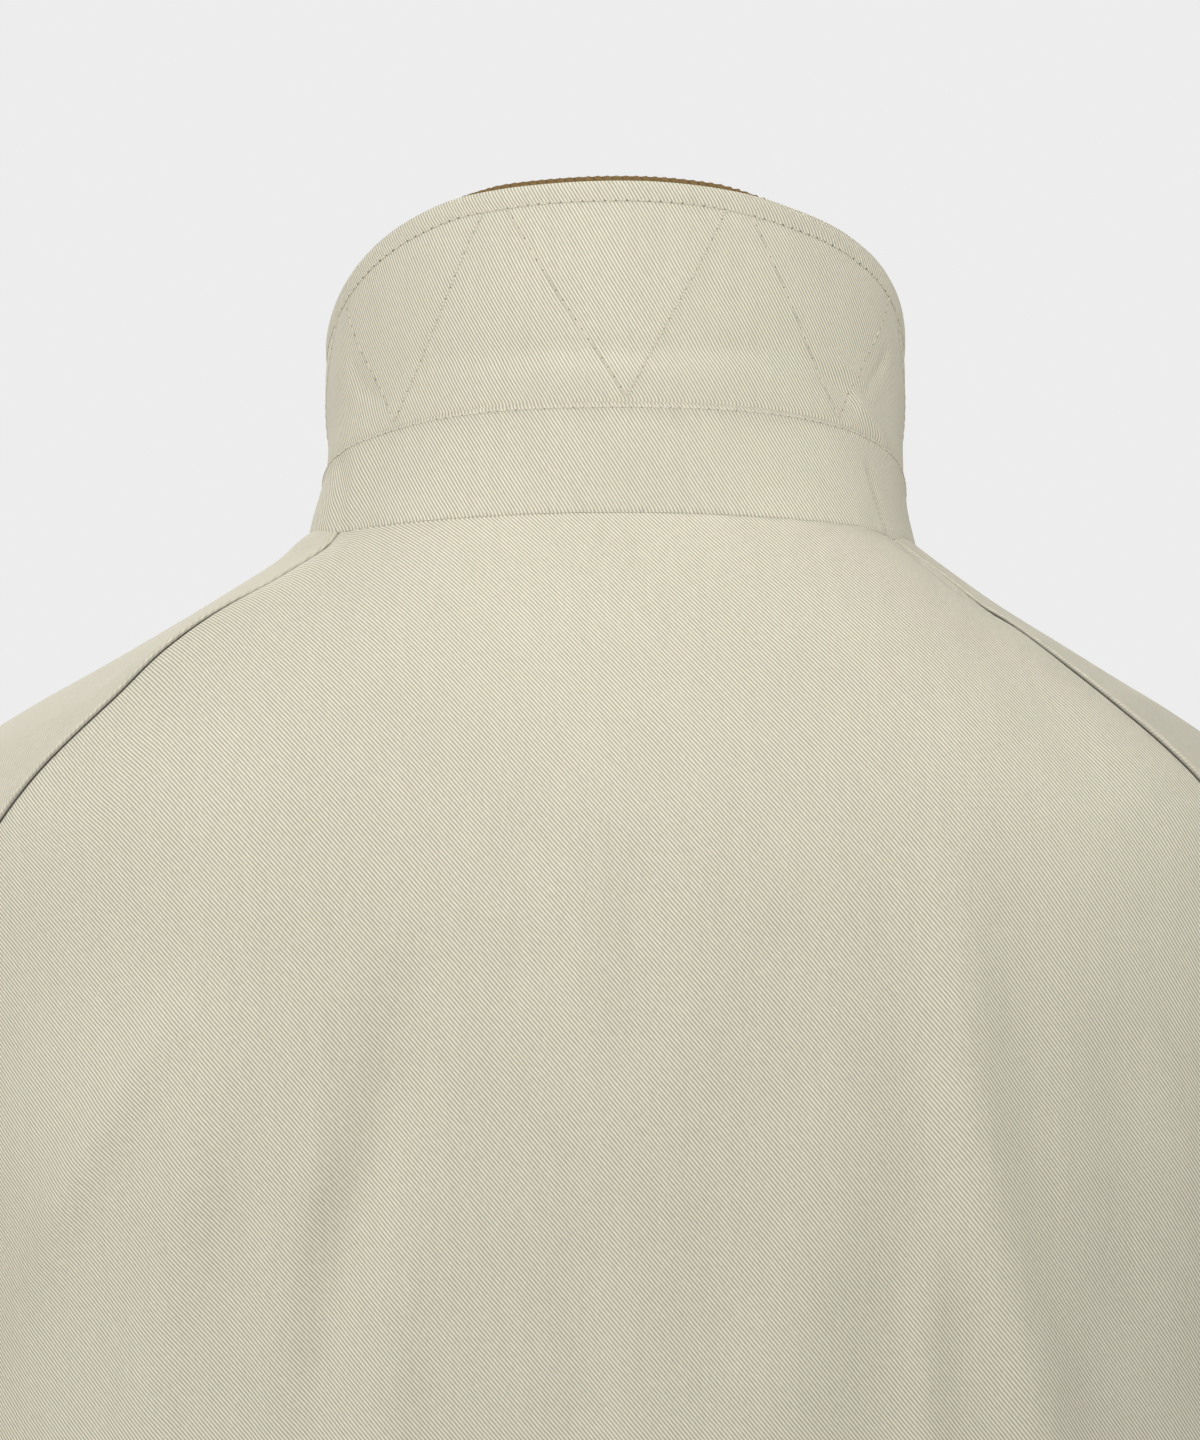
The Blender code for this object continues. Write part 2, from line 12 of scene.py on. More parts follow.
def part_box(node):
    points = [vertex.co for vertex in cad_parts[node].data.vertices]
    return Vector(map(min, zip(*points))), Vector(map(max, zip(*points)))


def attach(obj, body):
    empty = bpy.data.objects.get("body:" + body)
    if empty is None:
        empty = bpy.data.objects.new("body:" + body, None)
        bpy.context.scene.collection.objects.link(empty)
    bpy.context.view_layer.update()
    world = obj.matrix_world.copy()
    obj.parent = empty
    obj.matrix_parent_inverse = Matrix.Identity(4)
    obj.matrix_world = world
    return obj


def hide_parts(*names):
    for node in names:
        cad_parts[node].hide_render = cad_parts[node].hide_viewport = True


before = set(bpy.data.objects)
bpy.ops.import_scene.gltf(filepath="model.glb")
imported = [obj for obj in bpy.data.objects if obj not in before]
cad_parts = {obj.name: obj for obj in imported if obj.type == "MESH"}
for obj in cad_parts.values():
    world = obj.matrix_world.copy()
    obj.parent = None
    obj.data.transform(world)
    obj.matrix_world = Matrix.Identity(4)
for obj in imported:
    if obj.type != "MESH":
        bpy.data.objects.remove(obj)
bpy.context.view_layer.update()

bl_info = {
    "name": "Field jacket dressing",
    "version": (1, 0, 0),
    "blender": (4, 5, 0),
    "location": "View3D > Sidebar > Jacket",
    "description": "Twill panels, corduroy collar, stitching, buttons and a stage for a hollow worn jacket",
    "category": "Mesh",
}

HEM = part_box("back")[0].z
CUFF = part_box("sleeve_left")[0].z
COLLAR_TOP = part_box("undercollar")[1].z


def linear(hex_colour):
    """A colour as sRGB hex, turned to linear RGB."""
    parts = [int(hex_colour[i : i + 2], 16) / 255 for i in (1, 3, 5)]
    return tuple(c / 12.92 if c <= 0.04045 else ((c + 0.055) / 1.055) ** 2.4 for c in parts)


# ---------------------------------------------------------------- sizes and colours a user may change
class TwillSettings(bpy.types.PropertyGroup):
    """The cotton twill of the body, sleeves, stand and undercollar."""

    colour: bpy.props.FloatVectorProperty(
        name="Twill colour", description="Dyed colour of the cotton", subtype="COLOR", min=0, max=1,
        default=linear("#d9d4c2"))
    wall: bpy.props.FloatProperty(
        name="Wall", description="Thickness of the twill with its allowances", default=0.0012,
        subtype="DISTANCE", unit="LENGTH")
    rib: bpy.props.FloatProperty(
        name="Twill line", description="Spacing of the diagonal lines, square to them", default=0.00105,
        subtype="DISTANCE", unit="LENGTH")
    slant: bpy.props.FloatProperty(
        name="Slant", description="Angle of the diagonal lines to the weft", default=math.radians(50),
        subtype="ANGLE", unit="ROTATION")
    relief: bpy.props.FloatProperty(
        name="Relief", description="Height of the weave in the bump", default=0.00014,
        subtype="DISTANCE", unit="LENGTH")


class CorduroySettings(bpy.types.PropertyGroup):
    """The fine-wale corduroy of the upper collar."""

    colour: bpy.props.FloatVectorProperty(
        name="Pile colour", description="Colour on top of the wales", subtype="COLOR", min=0, max=1,
        default=linear("#846d48"))
    wall: bpy.props.FloatProperty(
        name="Wall", description="Thickness of the corduroy between its wales", default=0.0012,
        subtype="DISTANCE", unit="LENGTH")
    wale: bpy.props.FloatProperty(
        name="Wale", description="Spacing of the wales", default=0.0030, subtype="DISTANCE", unit="LENGTH")
    pile: bpy.props.FloatProperty(
        name="Pile", description="Height of a wale", default=0.0006, subtype="DISTANCE", unit="LENGTH")
    shown: bpy.props.FloatProperty(
        name="Shown edge", description="How far round from the centre back the edge shows over the twill",
        default=0.062, subtype="DISTANCE", unit="LENGTH")


class StitchSettings(bpy.types.PropertyGroup):
    """The lockstitch rows."""

    colour: bpy.props.FloatVectorProperty(
        name="Thread colour", description="Colour of the core-spun thread", subtype="COLOR", min=0, max=1,
        default=linear("#e0dac8"))
    length: bpy.props.FloatProperty(
        name="Stitch", description="Length from needle hole to needle hole", default=0.0037,
        subtype="DISTANCE", unit="LENGTH")
    width: bpy.props.FloatProperty(
        name="Thread", description="Thickness of the thread", default=0.00066, subtype="DISTANCE",
        unit="LENGTH")
    top_row: bpy.props.FloatProperty(
        name="Collar row", description="Distance of the collar's row from its edge", default=0.0066,
        subtype="DISTANCE", unit="LENGTH")
    hem_row: bpy.props.FloatProperty(
        name="Hem row", description="Distance of the hem's and the cuffs' rows from their edges",
        default=0.024, subtype="DISTANCE", unit="LENGTH")


class ButtonSettings(bpy.types.PropertyGroup):
    """The front buttons."""

    colour: bpy.props.FloatVectorProperty(
        name="Horn colour", description="Dark tone of the horn-coloured polyester", subtype="COLOR", min=0,
        max=1, default=linear("#4b3522"))
    radius: bpy.props.FloatProperty(
        name="Radius", description="Radius of a front button", default=0.0100, subtype="DISTANCE",
        unit="LENGTH")
    thick: bpy.props.FloatProperty(
        name="Thickness", description="Thickness at the rim", default=0.0034, subtype="DISTANCE",
        unit="LENGTH")
    hole: bpy.props.FloatProperty(
        name="Hole", description="Radius of each of the four holes", default=0.0010, subtype="DISTANCE",
        unit="LENGTH")


class StageSettings(bpy.types.PropertyGroup):
    """The floor, the light and the camera."""

    wall_colour: bpy.props.FloatVectorProperty(
        name="Backdrop", description="Colour behind the jacket", subtype="COLOR", min=0, max=1,
        default=linear("#ededed"))
    floor_drop: bpy.props.FloatProperty(
        name="Floor", description="Height of the hem above the floor", default=0.12, subtype="DISTANCE",
        unit="LENGTH")
    distance: bpy.props.FloatProperty(
        name="Distance", description="From the camera to the back neck seam", default=2.4,
        subtype="DISTANCE", unit="LENGTH")
    azimuth: bpy.props.FloatProperty(
        name="Azimuth", description="Direction of the camera round the jacket", default=math.radians(178),
        subtype="ANGLE", unit="ROTATION")
    elevation: bpy.props.FloatProperty(
        name="Elevation", description="Height of the camera's line to the neck seam", default=math.radians(-6),
        subtype="ANGLE", unit="ROTATION")
    scale: bpy.props.FloatProperty(
        name="Scale", description="Size of a picture element at the neck seam", default=0.00033,
        subtype="DISTANCE", unit="LENGTH")


SETTINGS = {
    "jacket_twill": TwillSettings,
    "jacket_corduroy": CorduroySettings,
    "jacket_stitch": StitchSettings,
    "jacket_button": ButtonSettings,
    "jacket_stage": StageSettings,
}


# ---------------------------------------------------------------- materials
def add_node(tree, kind, inputs=None, **settings):
    """Adds a node. inputs gives each socket a value, or the output that it is linked to."""
    made = tree.nodes.new(kind)
    for name, value in settings.items():
        setattr(made, name, value)
    for socket, value in (inputs or {}).items():
        if isinstance(value, bpy.types.NodeSocket):
            tree.links.new(value, made.inputs[socket])
        else:
            made.inputs[socket].default_value = value
    return made


def new_material(name):
    """An empty node material and its output."""
    made = bpy.data.materials.new(name)
    made.use_nodes = True
    made.node_tree.nodes.clear()
    return made, made.node_tree


def cotton_twill(settings, slant, depth):
    """Cotton gabardine: a warp-faced 2/1 twill, piece-dyed, matt with a trace of fuzz. Its lines run from
    upper left to lower right, and are pressed flatter on the sleeves. Real lines lie about 1 mm apart along
    the weft; they are drawn 1.4 mm apart to show."""
    name = f"cotton_twill_{round(math.degrees(slant))}_{round(depth * 100)}"
    if name in bpy.data.materials:
        return bpy.data.materials[name]
    made, tree = new_material(name)
    flat = add_node(tree, "ShaderNodeUVMap", uv_map="flat").outputs["UV"]
    wander = add_node(tree, "ShaderNodeTexNoise", {"Vector": flat, "Scale": 50, "Detail": 1}, noise_dimensions="2D")
    across = add_node(tree, "ShaderNodeVectorMath", {
        0: flat, 1: (math.sin(slant) / settings.rib, math.cos(slant) / settings.rib, 0)}, operation="DOT_PRODUCT")
    phase = add_node(tree, "ShaderNodeMath", {
        0: wander.outputs["Fac"], 1: 0.35, 2: across.outputs["Value"]}, operation="MULTIPLY_ADD")
    turn = add_node(tree, "ShaderNodeMath", {0: phase.outputs[0], 1: math.tau}, operation="MULTIPLY")
    line = add_node(tree, "ShaderNodeMath", {0: turn.outputs[0]}, operation="SINE")
    yarn = add_node(tree, "ShaderNodeTexNoise", {
        "Vector": add_node(tree, "ShaderNodeMapping", {"Vector": flat, "Scale": (1100, 420, 1)}).outputs[0],
        "Scale": 1.0, "Detail": 2}, noise_dimensions="2D")
    slub = add_node(tree, "ShaderNodeTexNoise", {
        "Vector": add_node(tree, "ShaderNodeMapping", {"Vector": flat, "Scale": (260, 40, 1)}).outputs[0],
        "Scale": 1.0, "Detail": 3}, noise_dimensions="2D")
    wash = add_node(tree, "ShaderNodeTexNoise", {"Vector": flat, "Scale": 9, "Detail": 4}, noise_dimensions="2D")
    height = add_node(tree, "ShaderNodeMath", {
        0: line.outputs[0], 1: 0.5 * depth, 2: yarn.outputs["Fac"]}, operation="MULTIPLY_ADD")
    weave = add_node(tree, "ShaderNodeBump", {
        "Height": height.outputs[0], "Distance": settings.relief, "Strength": 0.8})
    by_seam = add_node(tree, "ShaderNodeAttribute", attribute_name="by_seam").outputs["Fac"]
    drawn = add_node(tree, "ShaderNodeTexNoise", {
        "Vector": add_node(tree, "ShaderNodeMapping", {
            "Vector": flat, "Rotation": (0, 0, math.radians(-40)), "Scale": (480, 150, 1)}).outputs[0],
        "Scale": 1.0, "Detail": 1}, noise_dimensions="2D")
    pucker = add_node(tree, "ShaderNodeMath", {0: drawn.outputs["Fac"], 1: by_seam}, operation="MULTIPLY")
    bump = add_node(tree, "ShaderNodeBump", {
        "Height": pucker.outputs[0], "Distance": 0.0011, "Strength": 0.8, "Normal": weave.outputs["Normal"]})
    tone = add_node(tree, "ShaderNodeMath", {0: line.outputs[0], 1: 0.36 * depth, 2: 0.32}, operation="MULTIPLY_ADD")
    for part, share in ((yarn, 0.18), (slub, 0.06), (wash, 0.12)):
        tone = add_node(tree, "ShaderNodeMath", {
            0: part.outputs["Fac"], 1: share, 2: tone.outputs[0]}, operation="MULTIPLY_ADD")
    base = Vector(settings.colour)
    ramp = add_node(tree, "ShaderNodeValToRGB", {"Fac": tone.outputs[0]})
    ramp.color_ramp.elements[0].color = (*(base * 0.56), 1)
    ramp.color_ramp.elements[1].color = (*(base * 1.44), 1)
    # Painted shade: along seam edges the colour is mixed towards a dark tone of the cloth, where a turned edge lies in
    # shade.
    seam_shade = add_node(tree, "ShaderNodeAttribute", attribute_name="seam_shade").outputs["Fac"]
    shaded = add_node(tree, "ShaderNodeMix", {
        "Factor": seam_shade, "A": ramp.outputs["Color"], "B": (*(base * 0.16), 1)}, data_type="RGBA")
    shader = add_node(tree, "ShaderNodeBsdfPrincipled", {
        "Base Color": shaded.outputs["Result"], "Normal": bump.outputs["Normal"], "Roughness": 0.88,
        "Specular IOR Level": 0.2, "Sheen Weight": 0.08, "Sheen Roughness": 0.5})
    add_node(tree, "ShaderNodeOutputMaterial", {"Surface": shader.outputs[0]})
    return made


def corduroy_pile(settings):
    """Cotton corduroy, piece-dyed brown: cut pile in wales, with the sheen of cut fibre ends. Its colour is painted
    lighter on top where the tufts stand and darker in the ground between them, as the shade there."""
    made, tree = new_material("corduroy_pile")
    flat = add_node(tree, "ShaderNodeUVMap", uv_map="flat").outputs["UV"]
    wale = add_node(tree, "ShaderNodeAttribute", attribute_name="wale")
    tuft = add_node(tree, "ShaderNodeTexNoise", {
        "Vector": add_node(tree, "ShaderNodeMapping", {"Vector": flat, "Scale": (1800, 900, 1)}).outputs[0],
        "Scale": 1.0, "Detail": 3}, noise_dimensions="2D")
    lean = add_node(tree, "ShaderNodeTexNoise", {
        "Vector": add_node(tree, "ShaderNodeMapping", {"Vector": flat, "Scale": (120, 25, 1)}).outputs[0],
        "Scale": 1.0, "Detail": 2}, noise_dimensions="2D")
    mix = add_node(tree, "ShaderNodeMath", {0: tuft.outputs["Fac"], 1: 0.5, 2: wale.outputs["Fac"]}, operation="MULTIPLY_ADD")
    mix2 = add_node(tree, "ShaderNodeMath", {0: lean.outputs["Fac"], 1: 0.4, 2: mix.outputs[0]}, operation="MULTIPLY_ADD")
    top = Vector(settings.colour)
    # Painted light and shade: the wale attribute darkens the colour to a third in the grooves between wales and lifts
    # it on their tops.
    ramp = add_node(tree, "ShaderNodeValToRGB", {"Fac": mix2.outputs[0]})
    ramp.color_ramp.elements[0].position = 0.35
    ramp.color_ramp.elements[0].color = (*(top * 0.35), 1)
    ramp.color_ramp.elements[1].position = 1.0
    ramp.color_ramp.elements[1].color = (*(top * 1.15), 1)
    bump = add_node(tree, "ShaderNodeBump", {"Height": tuft.outputs["Fac"], "Distance": 0.00025, "Strength": 0.8})
    shader = add_node(tree, "ShaderNodeBsdfPrincipled", {
        "Base Color": ramp.outputs["Color"], "Normal": bump.outputs["Normal"], "Roughness": 0.95,
        "Specular IOR Level": 0.15, "Sheen Weight": 0.12, "Sheen Roughness": 0.4})
    add_node(tree, "ShaderNodeOutputMaterial", {"Surface": shader.outputs[0]})
    return made


def core_spun_thread(settings):
    """Polyester core-spun thread, dyed to the cloth: a little smoother than the twill, with its twist."""
    made, tree = new_material("core_spun_thread")
    place = add_node(tree, "ShaderNodeTexCoord").outputs["Object"]
    twist = add_node(tree, "ShaderNodeTexNoise", {"Vector": place, "Scale": 2600, "Detail": 1})
    ramp = add_node(tree, "ShaderNodeValToRGB", {"Fac": twist.outputs["Fac"]})
    ramp.color_ramp.elements[0].color = (*(Vector(settings.colour) * 0.80), 1)
    ramp.color_ramp.elements[1].color = (*(Vector(settings.colour) * 1.08), 1)
    bump = add_node(tree, "ShaderNodeBump", {"Height": twist.outputs["Fac"], "Distance": 0.0001, "Strength": 0.5})
    shader = add_node(tree, "ShaderNodeBsdfPrincipled", {
        "Base Color": ramp.outputs["Color"], "Normal": bump.outputs["Normal"], "Roughness": 0.7,
        "Specular IOR Level": 0.35, "Sheen Weight": 0.1})
    add_node(tree, "ShaderNodeOutputMaterial", {"Surface": shader.outputs[0]})
    return made


def needle_hole_shade(settings):
    """The shade inside a needle's hole, where the thread goes down between the yarns."""
    made, tree = new_material("needle_hole_shade")
    place = add_node(tree, "ShaderNodeTexCoord").outputs["Object"]
    frayed = add_node(tree, "ShaderNodeTexNoise", {"Vector": place, "Scale": 3000, "Detail": 1})
    ramp = add_node(tree, "ShaderNodeValToRGB", {"Fac": frayed.outputs["Fac"]})
    ramp.color_ramp.elements[0].color = (*(Vector(settings.colour) * 0.34), 1)
    ramp.color_ramp.elements[1].color = (*(Vector(settings.colour) * 0.62), 1)
    shader = add_node(tree, "ShaderNodeBsdfPrincipled", {
        "Base Color": ramp.outputs["Color"], "Roughness": 0.95, "Specular IOR Level": 0.1})
    add_node(tree, "ShaderNodeOutputMaterial", {"Surface": shader.outputs[0]})
    return made


def horn_polyester(settings):
    """Cast polyester made to look like horn: clouded brown streaks under a polished, slightly worn face."""
    made, tree = new_material("horn_polyester")
    place = add_node(tree, "ShaderNodeTexCoord").outputs["Object"]
    streak = add_node(tree, "ShaderNodeTexNoise", {
        "Vector": add_node(tree, "ShaderNodeMapping", {"Vector": place, "Scale": (120, 120, 420)}).outputs[0],
        "Scale": 1.0, "Detail": 5, "Distortion": 1.2})
    ramp = add_node(tree, "ShaderNodeValToRGB", {"Fac": streak.outputs["Fac"]})
    ramp.color_ramp.elements[0].position = 0.30
    ramp.color_ramp.elements[0].color = (*(Vector(settings.colour) * 0.45), 1)
    ramp.color_ramp.elements[1].position = 0.75
    ramp.color_ramp.elements[1].color = (*linear("#8a6a44"), 1)
    wear = add_node(tree, "ShaderNodeTexNoise", {"Vector": place, "Scale": 900, "Detail": 3})
    rough = add_node(tree, "ShaderNodeMapRange", {"Value": wear.outputs["Fac"], "To Min": 0.24, "To Max": 0.42})
    shader = add_node(tree, "ShaderNodeBsdfPrincipled", {
        "Base Color": ramp.outputs["Color"], "Roughness": rough.outputs[0], "IOR": 1.54, "Coat Weight": 0.15})
    add_node(tree, "ShaderNodeOutputMaterial", {"Surface": shader.outputs[0]})
    return made


def painted_floor(settings):
    """Matt emulsion on a studio floor: an even pale grey with a faint roller texture."""
    made, tree = new_material("painted_floor")
    place = add_node(tree, "ShaderNodeTexCoord").outputs["Object"]
    roller = add_node(tree, "ShaderNodeTexNoise", {"Vector": place, "Scale": 160, "Detail": 3})
    bump = add_node(tree, "ShaderNodeBump", {"Height": roller.outputs["Fac"], "Distance": 0.0003, "Strength": 0.2})
    shader = add_node(tree, "ShaderNodeBsdfPrincipled", {
        "Base Color": (*settings.wall_colour, 1), "Roughness": 0.9, "Normal": bump.outputs["Normal"],
        "Specular IOR Level": 0.2})
    add_node(tree, "ShaderNodeOutputMaterial", {"Surface": shader.outputs[0]})
    return made


# ---------------------------------------------------------------- sheets from the solids
def select_only(*objects):
    """Deselects all and selects these, the first one active."""
    if bpy.context.object and bpy.context.object.mode != "OBJECT":
        bpy.ops.object.mode_set(mode="OBJECT")
    bpy.ops.object.select_all(action="DESELECT")
    for obj in objects:
        obj.select_set(True)
    bpy.context.view_layer.objects.active = objects[0] if objects else None


def islands(mesh):
    """The mesh's faces in connected groups, the largest area first."""
    left, groups = set(mesh.faces), []
    while left:
        group = [left.pop()]
        for face in group:
            for edge in face.edges:
                for other in edge.link_faces:
                    if other in left:
                        left.discard(other)
                        group.append(other)
        groups.append(group)
    return sorted(groups, key=lambda g: -sum(f.calc_area() for f in g))


def pair_triangles(mesh, mirrored):
    """Joins the triangles of a grid to its quads. Each triangle has a square corner, and crossing an edge
    of the grid moves it to the edge's other end. A panel with a mirror line keeps it there."""
    def squareness(face, corner):
        arms = [e.other_vert(corner).co - corner.co for e in face.edges if corner in e.verts]
        return abs(arms[0].normalized().dot(arms[1].normalized()))

    seed = min(((squareness(f, v), f, v) for f in mesh.faces for v in f.verts), key=lambda s: s[0])
    corners, stack = {seed[1]: seed[2]}, [seed[1]]
    while stack:
        face = stack.pop()
        corner = corners[face]
        for edge in face.edges:
            for other in edge.link_faces:
                if other in corners:
                    continue
                if corner not in edge.verts:
                    corners[other] = next(v for v in other.verts if v not in edge.verts)
                elif mirrored and all(abs(v.co.x) < 0.0008 for v in edge.verts):
                    corners[other] = corner
                else:
                    corners[other] = edge.other_vert(corner)
                stack.append(other)
    across = {e for f, c in corners.items() for e in f.edges if c not in e.verts}
    bmesh.ops.dissolve_edges(mesh, edges=[e for e in across if len(e.link_faces) == 2], use_verts=False)


def open_sheet(node, name, wall, mirrored=False, facing="outer"):
    """One side of a node's wall as an open sheet of quads. The outer side of a curved wall is the larger."""
    bm = bmesh.new()
    bm.from_mesh(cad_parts[node].data)
    bm.transform(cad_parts[node].matrix_world)
    bmesh.ops.remove_doubles(bm, verts=bm.verts, dist=0.00002)
    rim = [f for f in bm.faces if min(e.calc_length() for e in f.edges) < 1.25 * wall]
    bmesh.ops.delete(bm, geom=rim, context="FACES")
    sides = islands(bm)
    keep = set(sides[0 if facing == "outer" else 1])
    bmesh.ops.delete(bm, geom=[f for f in bm.faces if f not in keep], context="FACES")
    pair_triangles(bm, mirrored)
    mesh = bpy.data.meshes.new(name)
    bm.to_mesh(mesh)
    bm.free()
    mesh.shade_smooth()
    obj = bpy.data.objects.new(name, mesh)
    bpy.context.scene.collection.objects.link(obj)
    return obj


def cut_line(obj):
    """The underarm seam of a sleeve, marked from the underarm down to the cuff, so that it can lie flat."""
    bm = bmesh.new()
    bm.from_mesh(obj.data)
    upper = [v for v in bm.verts if v.is_boundary and v.co.z > CUFF + 0.12]
    here = min(upper, key=lambda v: v.co.z)
    edge = min((e for e in here.link_edges if not e.is_boundary), key=lambda e: e.other_vert(here).co.z)
    marked = []
    while True:
        marked.append(edge.index)
        here = edge.other_vert(here)
        if here.is_boundary:
            break
        edge = next(e for e in here.link_edges if not set(e.link_faces) & set(edge.link_faces))
    bm.free()
    for i in marked:
        obj.data.edges[i].use_seam = True


def lay_flat(obj):
    """Gives a sheet its flat pattern as a UV map, at real size in metres with the grain upright."""
    obj.data.uv_layers.new(name="flat")
    select_only(obj)
    bpy.ops.object.mode_set(mode="EDIT")
    bpy.ops.mesh.select_all(action="SELECT")
    bpy.ops.uv.unwrap(method="ANGLE_BASED", margin=0.0)
    bpy.ops.object.mode_set(mode="OBJECT")
    mesh = obj.data
    layer = mesh.uv_layers["flat"].data
    flat = np.empty(len(layer) * 2)
    layer.foreach_get("uv", flat)
    flat = flat.reshape(-1, 2)
    points = np.array([mesh.vertices[l.vertex_index].co for l in mesh.loops])
    area = flat_area = 0.0
    for face in mesh.polygons:
        corners = flat[list(face.loop_indices)]
        x, y = corners[:, 0], corners[:, 1]
        flat_area += 0.5 * float(np.dot(x, np.roll(y, -1)) - np.dot(y, np.roll(x, -1)))
        area += face.area
    if flat_area < 0:
        flat[:, 0] *= -1
    flat = (flat - flat.mean(axis=0)) * math.sqrt(area / abs(flat_area))
    up = ((points[:, 2] - points[:, 2].mean())[:, None] * flat).sum(axis=0)
    up /= np.linalg.norm(up)
    flat = np.stack([flat @ np.array([up[1], -up[0]]), flat @ up], axis=1)
    layer.foreach_set("uv", flat.astype(np.float32).ravel())
    return area


def apply_modifiers(obj):
    select_only(obj)
    for modifier in list(obj.modifiers):
        bpy.ops.object.modifier_apply(modifier=modifier.name)


def refine(obj, levels):
    """Rounds a sheet with Subdivision Surface and keeps its corners."""
    rounded = obj.modifiers.new("Rounded", "SUBSURF")
    rounded.levels = rounded.render_levels = levels
    rounded.boundary_smooth = "PRESERVE_CORNERS"
    apply_modifiers(obj)


def turn_in_edges(obj, times):
    """Halves the cells along a sheet's edges, so that the turned-in allowance has its own narrow strips."""
    for _ in range(times):
        bm = bmesh.new()
        bm.from_mesh(obj.data)
        inward = [e for e in bm.edges if not e.is_boundary and sum(v.is_boundary for v in e.verts) == 1]
        bmesh.ops.subdivide_edges(bm, edges=inward, cuts=1, use_grid_fill=True)
        bm.to_mesh(obj.data)
        bm.free()


def mark_seams(obj, keep, shade, reach):
    """Paints shade into the cloth's colour along a seam's folded edge, which lies in its own shade, and marks the
    puckered cloth beside it. Both fade towards the rest of the sheet's open edge."""
    frames = rim_frames(obj)
    edge = point_tree(rim_points(frames, keep))
    rest = rim_points(frames, lambda p: not keep(p))
    ends = point_tree(rest) if rest else None
    seam_shade, by_seam = [], []
    for v in obj.data.vertices:
        d = edge.find(v.co)[2]
        share = min(1.0, ends.find(v.co)[2] / 0.007) if ends else 1.0
        seam_shade.append(shade * share * max(0.0, 1 - d / reach))
        by_seam.append(share * max(0.0, 1 - d / 0.006))
    for name, values in (("seam_shade", seam_shade), ("by_seam", by_seam)):
        if name in obj.data.attributes:
            kept = [0.0] * len(values)
            obj.data.attributes[name].data.foreach_get("value", kept)
            values = [max(pair) for pair in zip(values, kept)]
        else:
            obj.data.attributes.new(name, "FLOAT", "POINT")
        obj.data.attributes[name].data.foreach_set("value", values)


def thicken(obj, wall, material):
    """Gives a sheet its wall, inwards, and its material."""
    obj.data.materials.clear()
    obj.data.materials.append(material)
    thick = obj.modifiers.new("Wall", "SOLIDIFY")
    thick.thickness = wall
    thick.offset = -1
    thick.use_even_offset = False
    apply_modifiers(obj)
    obj.data.shade_smooth()
    select_only(obj)
    bpy.ops.object.shade_smooth_by_angle(angle=math.radians(50))


def read_points(obj):
    """Points and normals of a mesh as arrays."""
    mesh = obj.data
    points, normals = np.empty(len(mesh.vertices) * 3), np.empty(len(mesh.vertices) * 3)
    mesh.vertices.foreach_get("co", points)
    mesh.vertex_normals.foreach_get("vector", normals)
    return points.reshape(-1, 3), normals.reshape(-1, 3)


def write_points(obj, points):
    obj.data.vertices.foreach_set("co", points.ravel())
    obj.data.update()


def rim_frames(obj):
    """Each vertex on a sheet's open edge: its place, its normal, the way out of the sheet and the two
    vertices next to it on the edge."""
    bm = bmesh.new()
    bm.from_mesh(obj.data)
    found = {}
    for v in bm.verts:
        if not v.is_boundary:
            continue
        ends = [e.other_vert(v) for e in v.link_edges if e.is_boundary]
        middle = sum((f.calc_center_median() for f in v.link_faces), Vector()) / len(v.link_faces)
        out = (ends[0].co - ends[-1].co).cross(v.normal).normalized()
        if out.dot(v.co - middle) < 0:
            out = -out
        found[v.index] = (v.co.copy(), v.normal.copy(), out, [end.index for end in ends])
    bm.free()
    return found


def point_tree(points):
    tree = KDTree(len(points))
    for i, p in enumerate(points):
        tree.insert(p, i)
    tree.balance()
    return tree


def rim_points(frames, keep, step=0.0005):
    """Close places along the parts of a sheet's open edge that pass a test."""
    found = []
    for i, (place, _normal, _out, ends) in frames.items():
        if not keep(place):
            continue
        found.append(place)
        for n in ends:
            if n > i and keep(frames[n][0]):
                count = int((frames[n][0] - place).length / step)
                found += [place.lerp(frames[n][0], k / (count + 1)) for k in range(1, count + 1)]
    return found


def rim_runs(frames, keep):
    """A sheet's open edge where it passes a test, as runs of vertices in order."""
    left = {i for i, (place, _normal, _out, _ends) in frames.items() if keep(place)}
    runs = []
    while left:
        starts = [i for i in left if sum(n in left for n in frames[i][3]) < 2]
        run = [min(starts or left)]
        left.discard(run[0])
        while True:
            step = [n for n in frames[run[-1]][3] if n in left]
            if not step:
                break
            run.append(step[0])
            left.discard(step[0])
        runs.append(run)
    return runs


def shape_edges(obj, kinds):
    """Raises or lowers the cloth near its edges. Each kind has a test for the edge's points, and a table
    of distances from the edge with the height there."""
    points, normals = read_points(obj)
    frames = rim_frames(obj)
    rise = np.zeros(len(points))
    for keep, profile in kinds:
        rim = rim_points(frames, keep)
        if not rim:
            continue
        tree = point_tree(rim)
        away, height = zip(*profile)
        for i, p in enumerate(points):
            _co, _index, d = tree.find(p)
            if d < away[-1]:
                rise[i] += np.interp(d, away, height)
    write_points(obj, points + normals * rise[:, None])


def tuck_under(obj, keep, out, drop, fade=0.004):
    """Slides a sheet's edge out and down, so that its allowance lies under the piece next to it."""
    frames = rim_frames(obj)
    under = point_tree(rim_points(frames, keep))
    free = rim_points(frames, lambda p: not keep(p))
    open_edge = point_tree(free) if free else None
    points, normals = read_points(obj)
    for i, p in enumerate(points):
        place, _index, d = under.find(p)
        if d > 0.005:
            continue
        share = min(1.0, open_edge.find(place)[2] / fade) if open_edge else 1.0
        low = np.interp(d, (0.0, 0.0010, 0.0030, 0.0050), (1.0, 0.32, 0.08, 0.0))
        points[i] -= normals[i] * drop * low * share
        if i in frames and d < 0.0001:
            points[i] += np.array(frames[i][2]) * out * share
    write_points(obj, points)


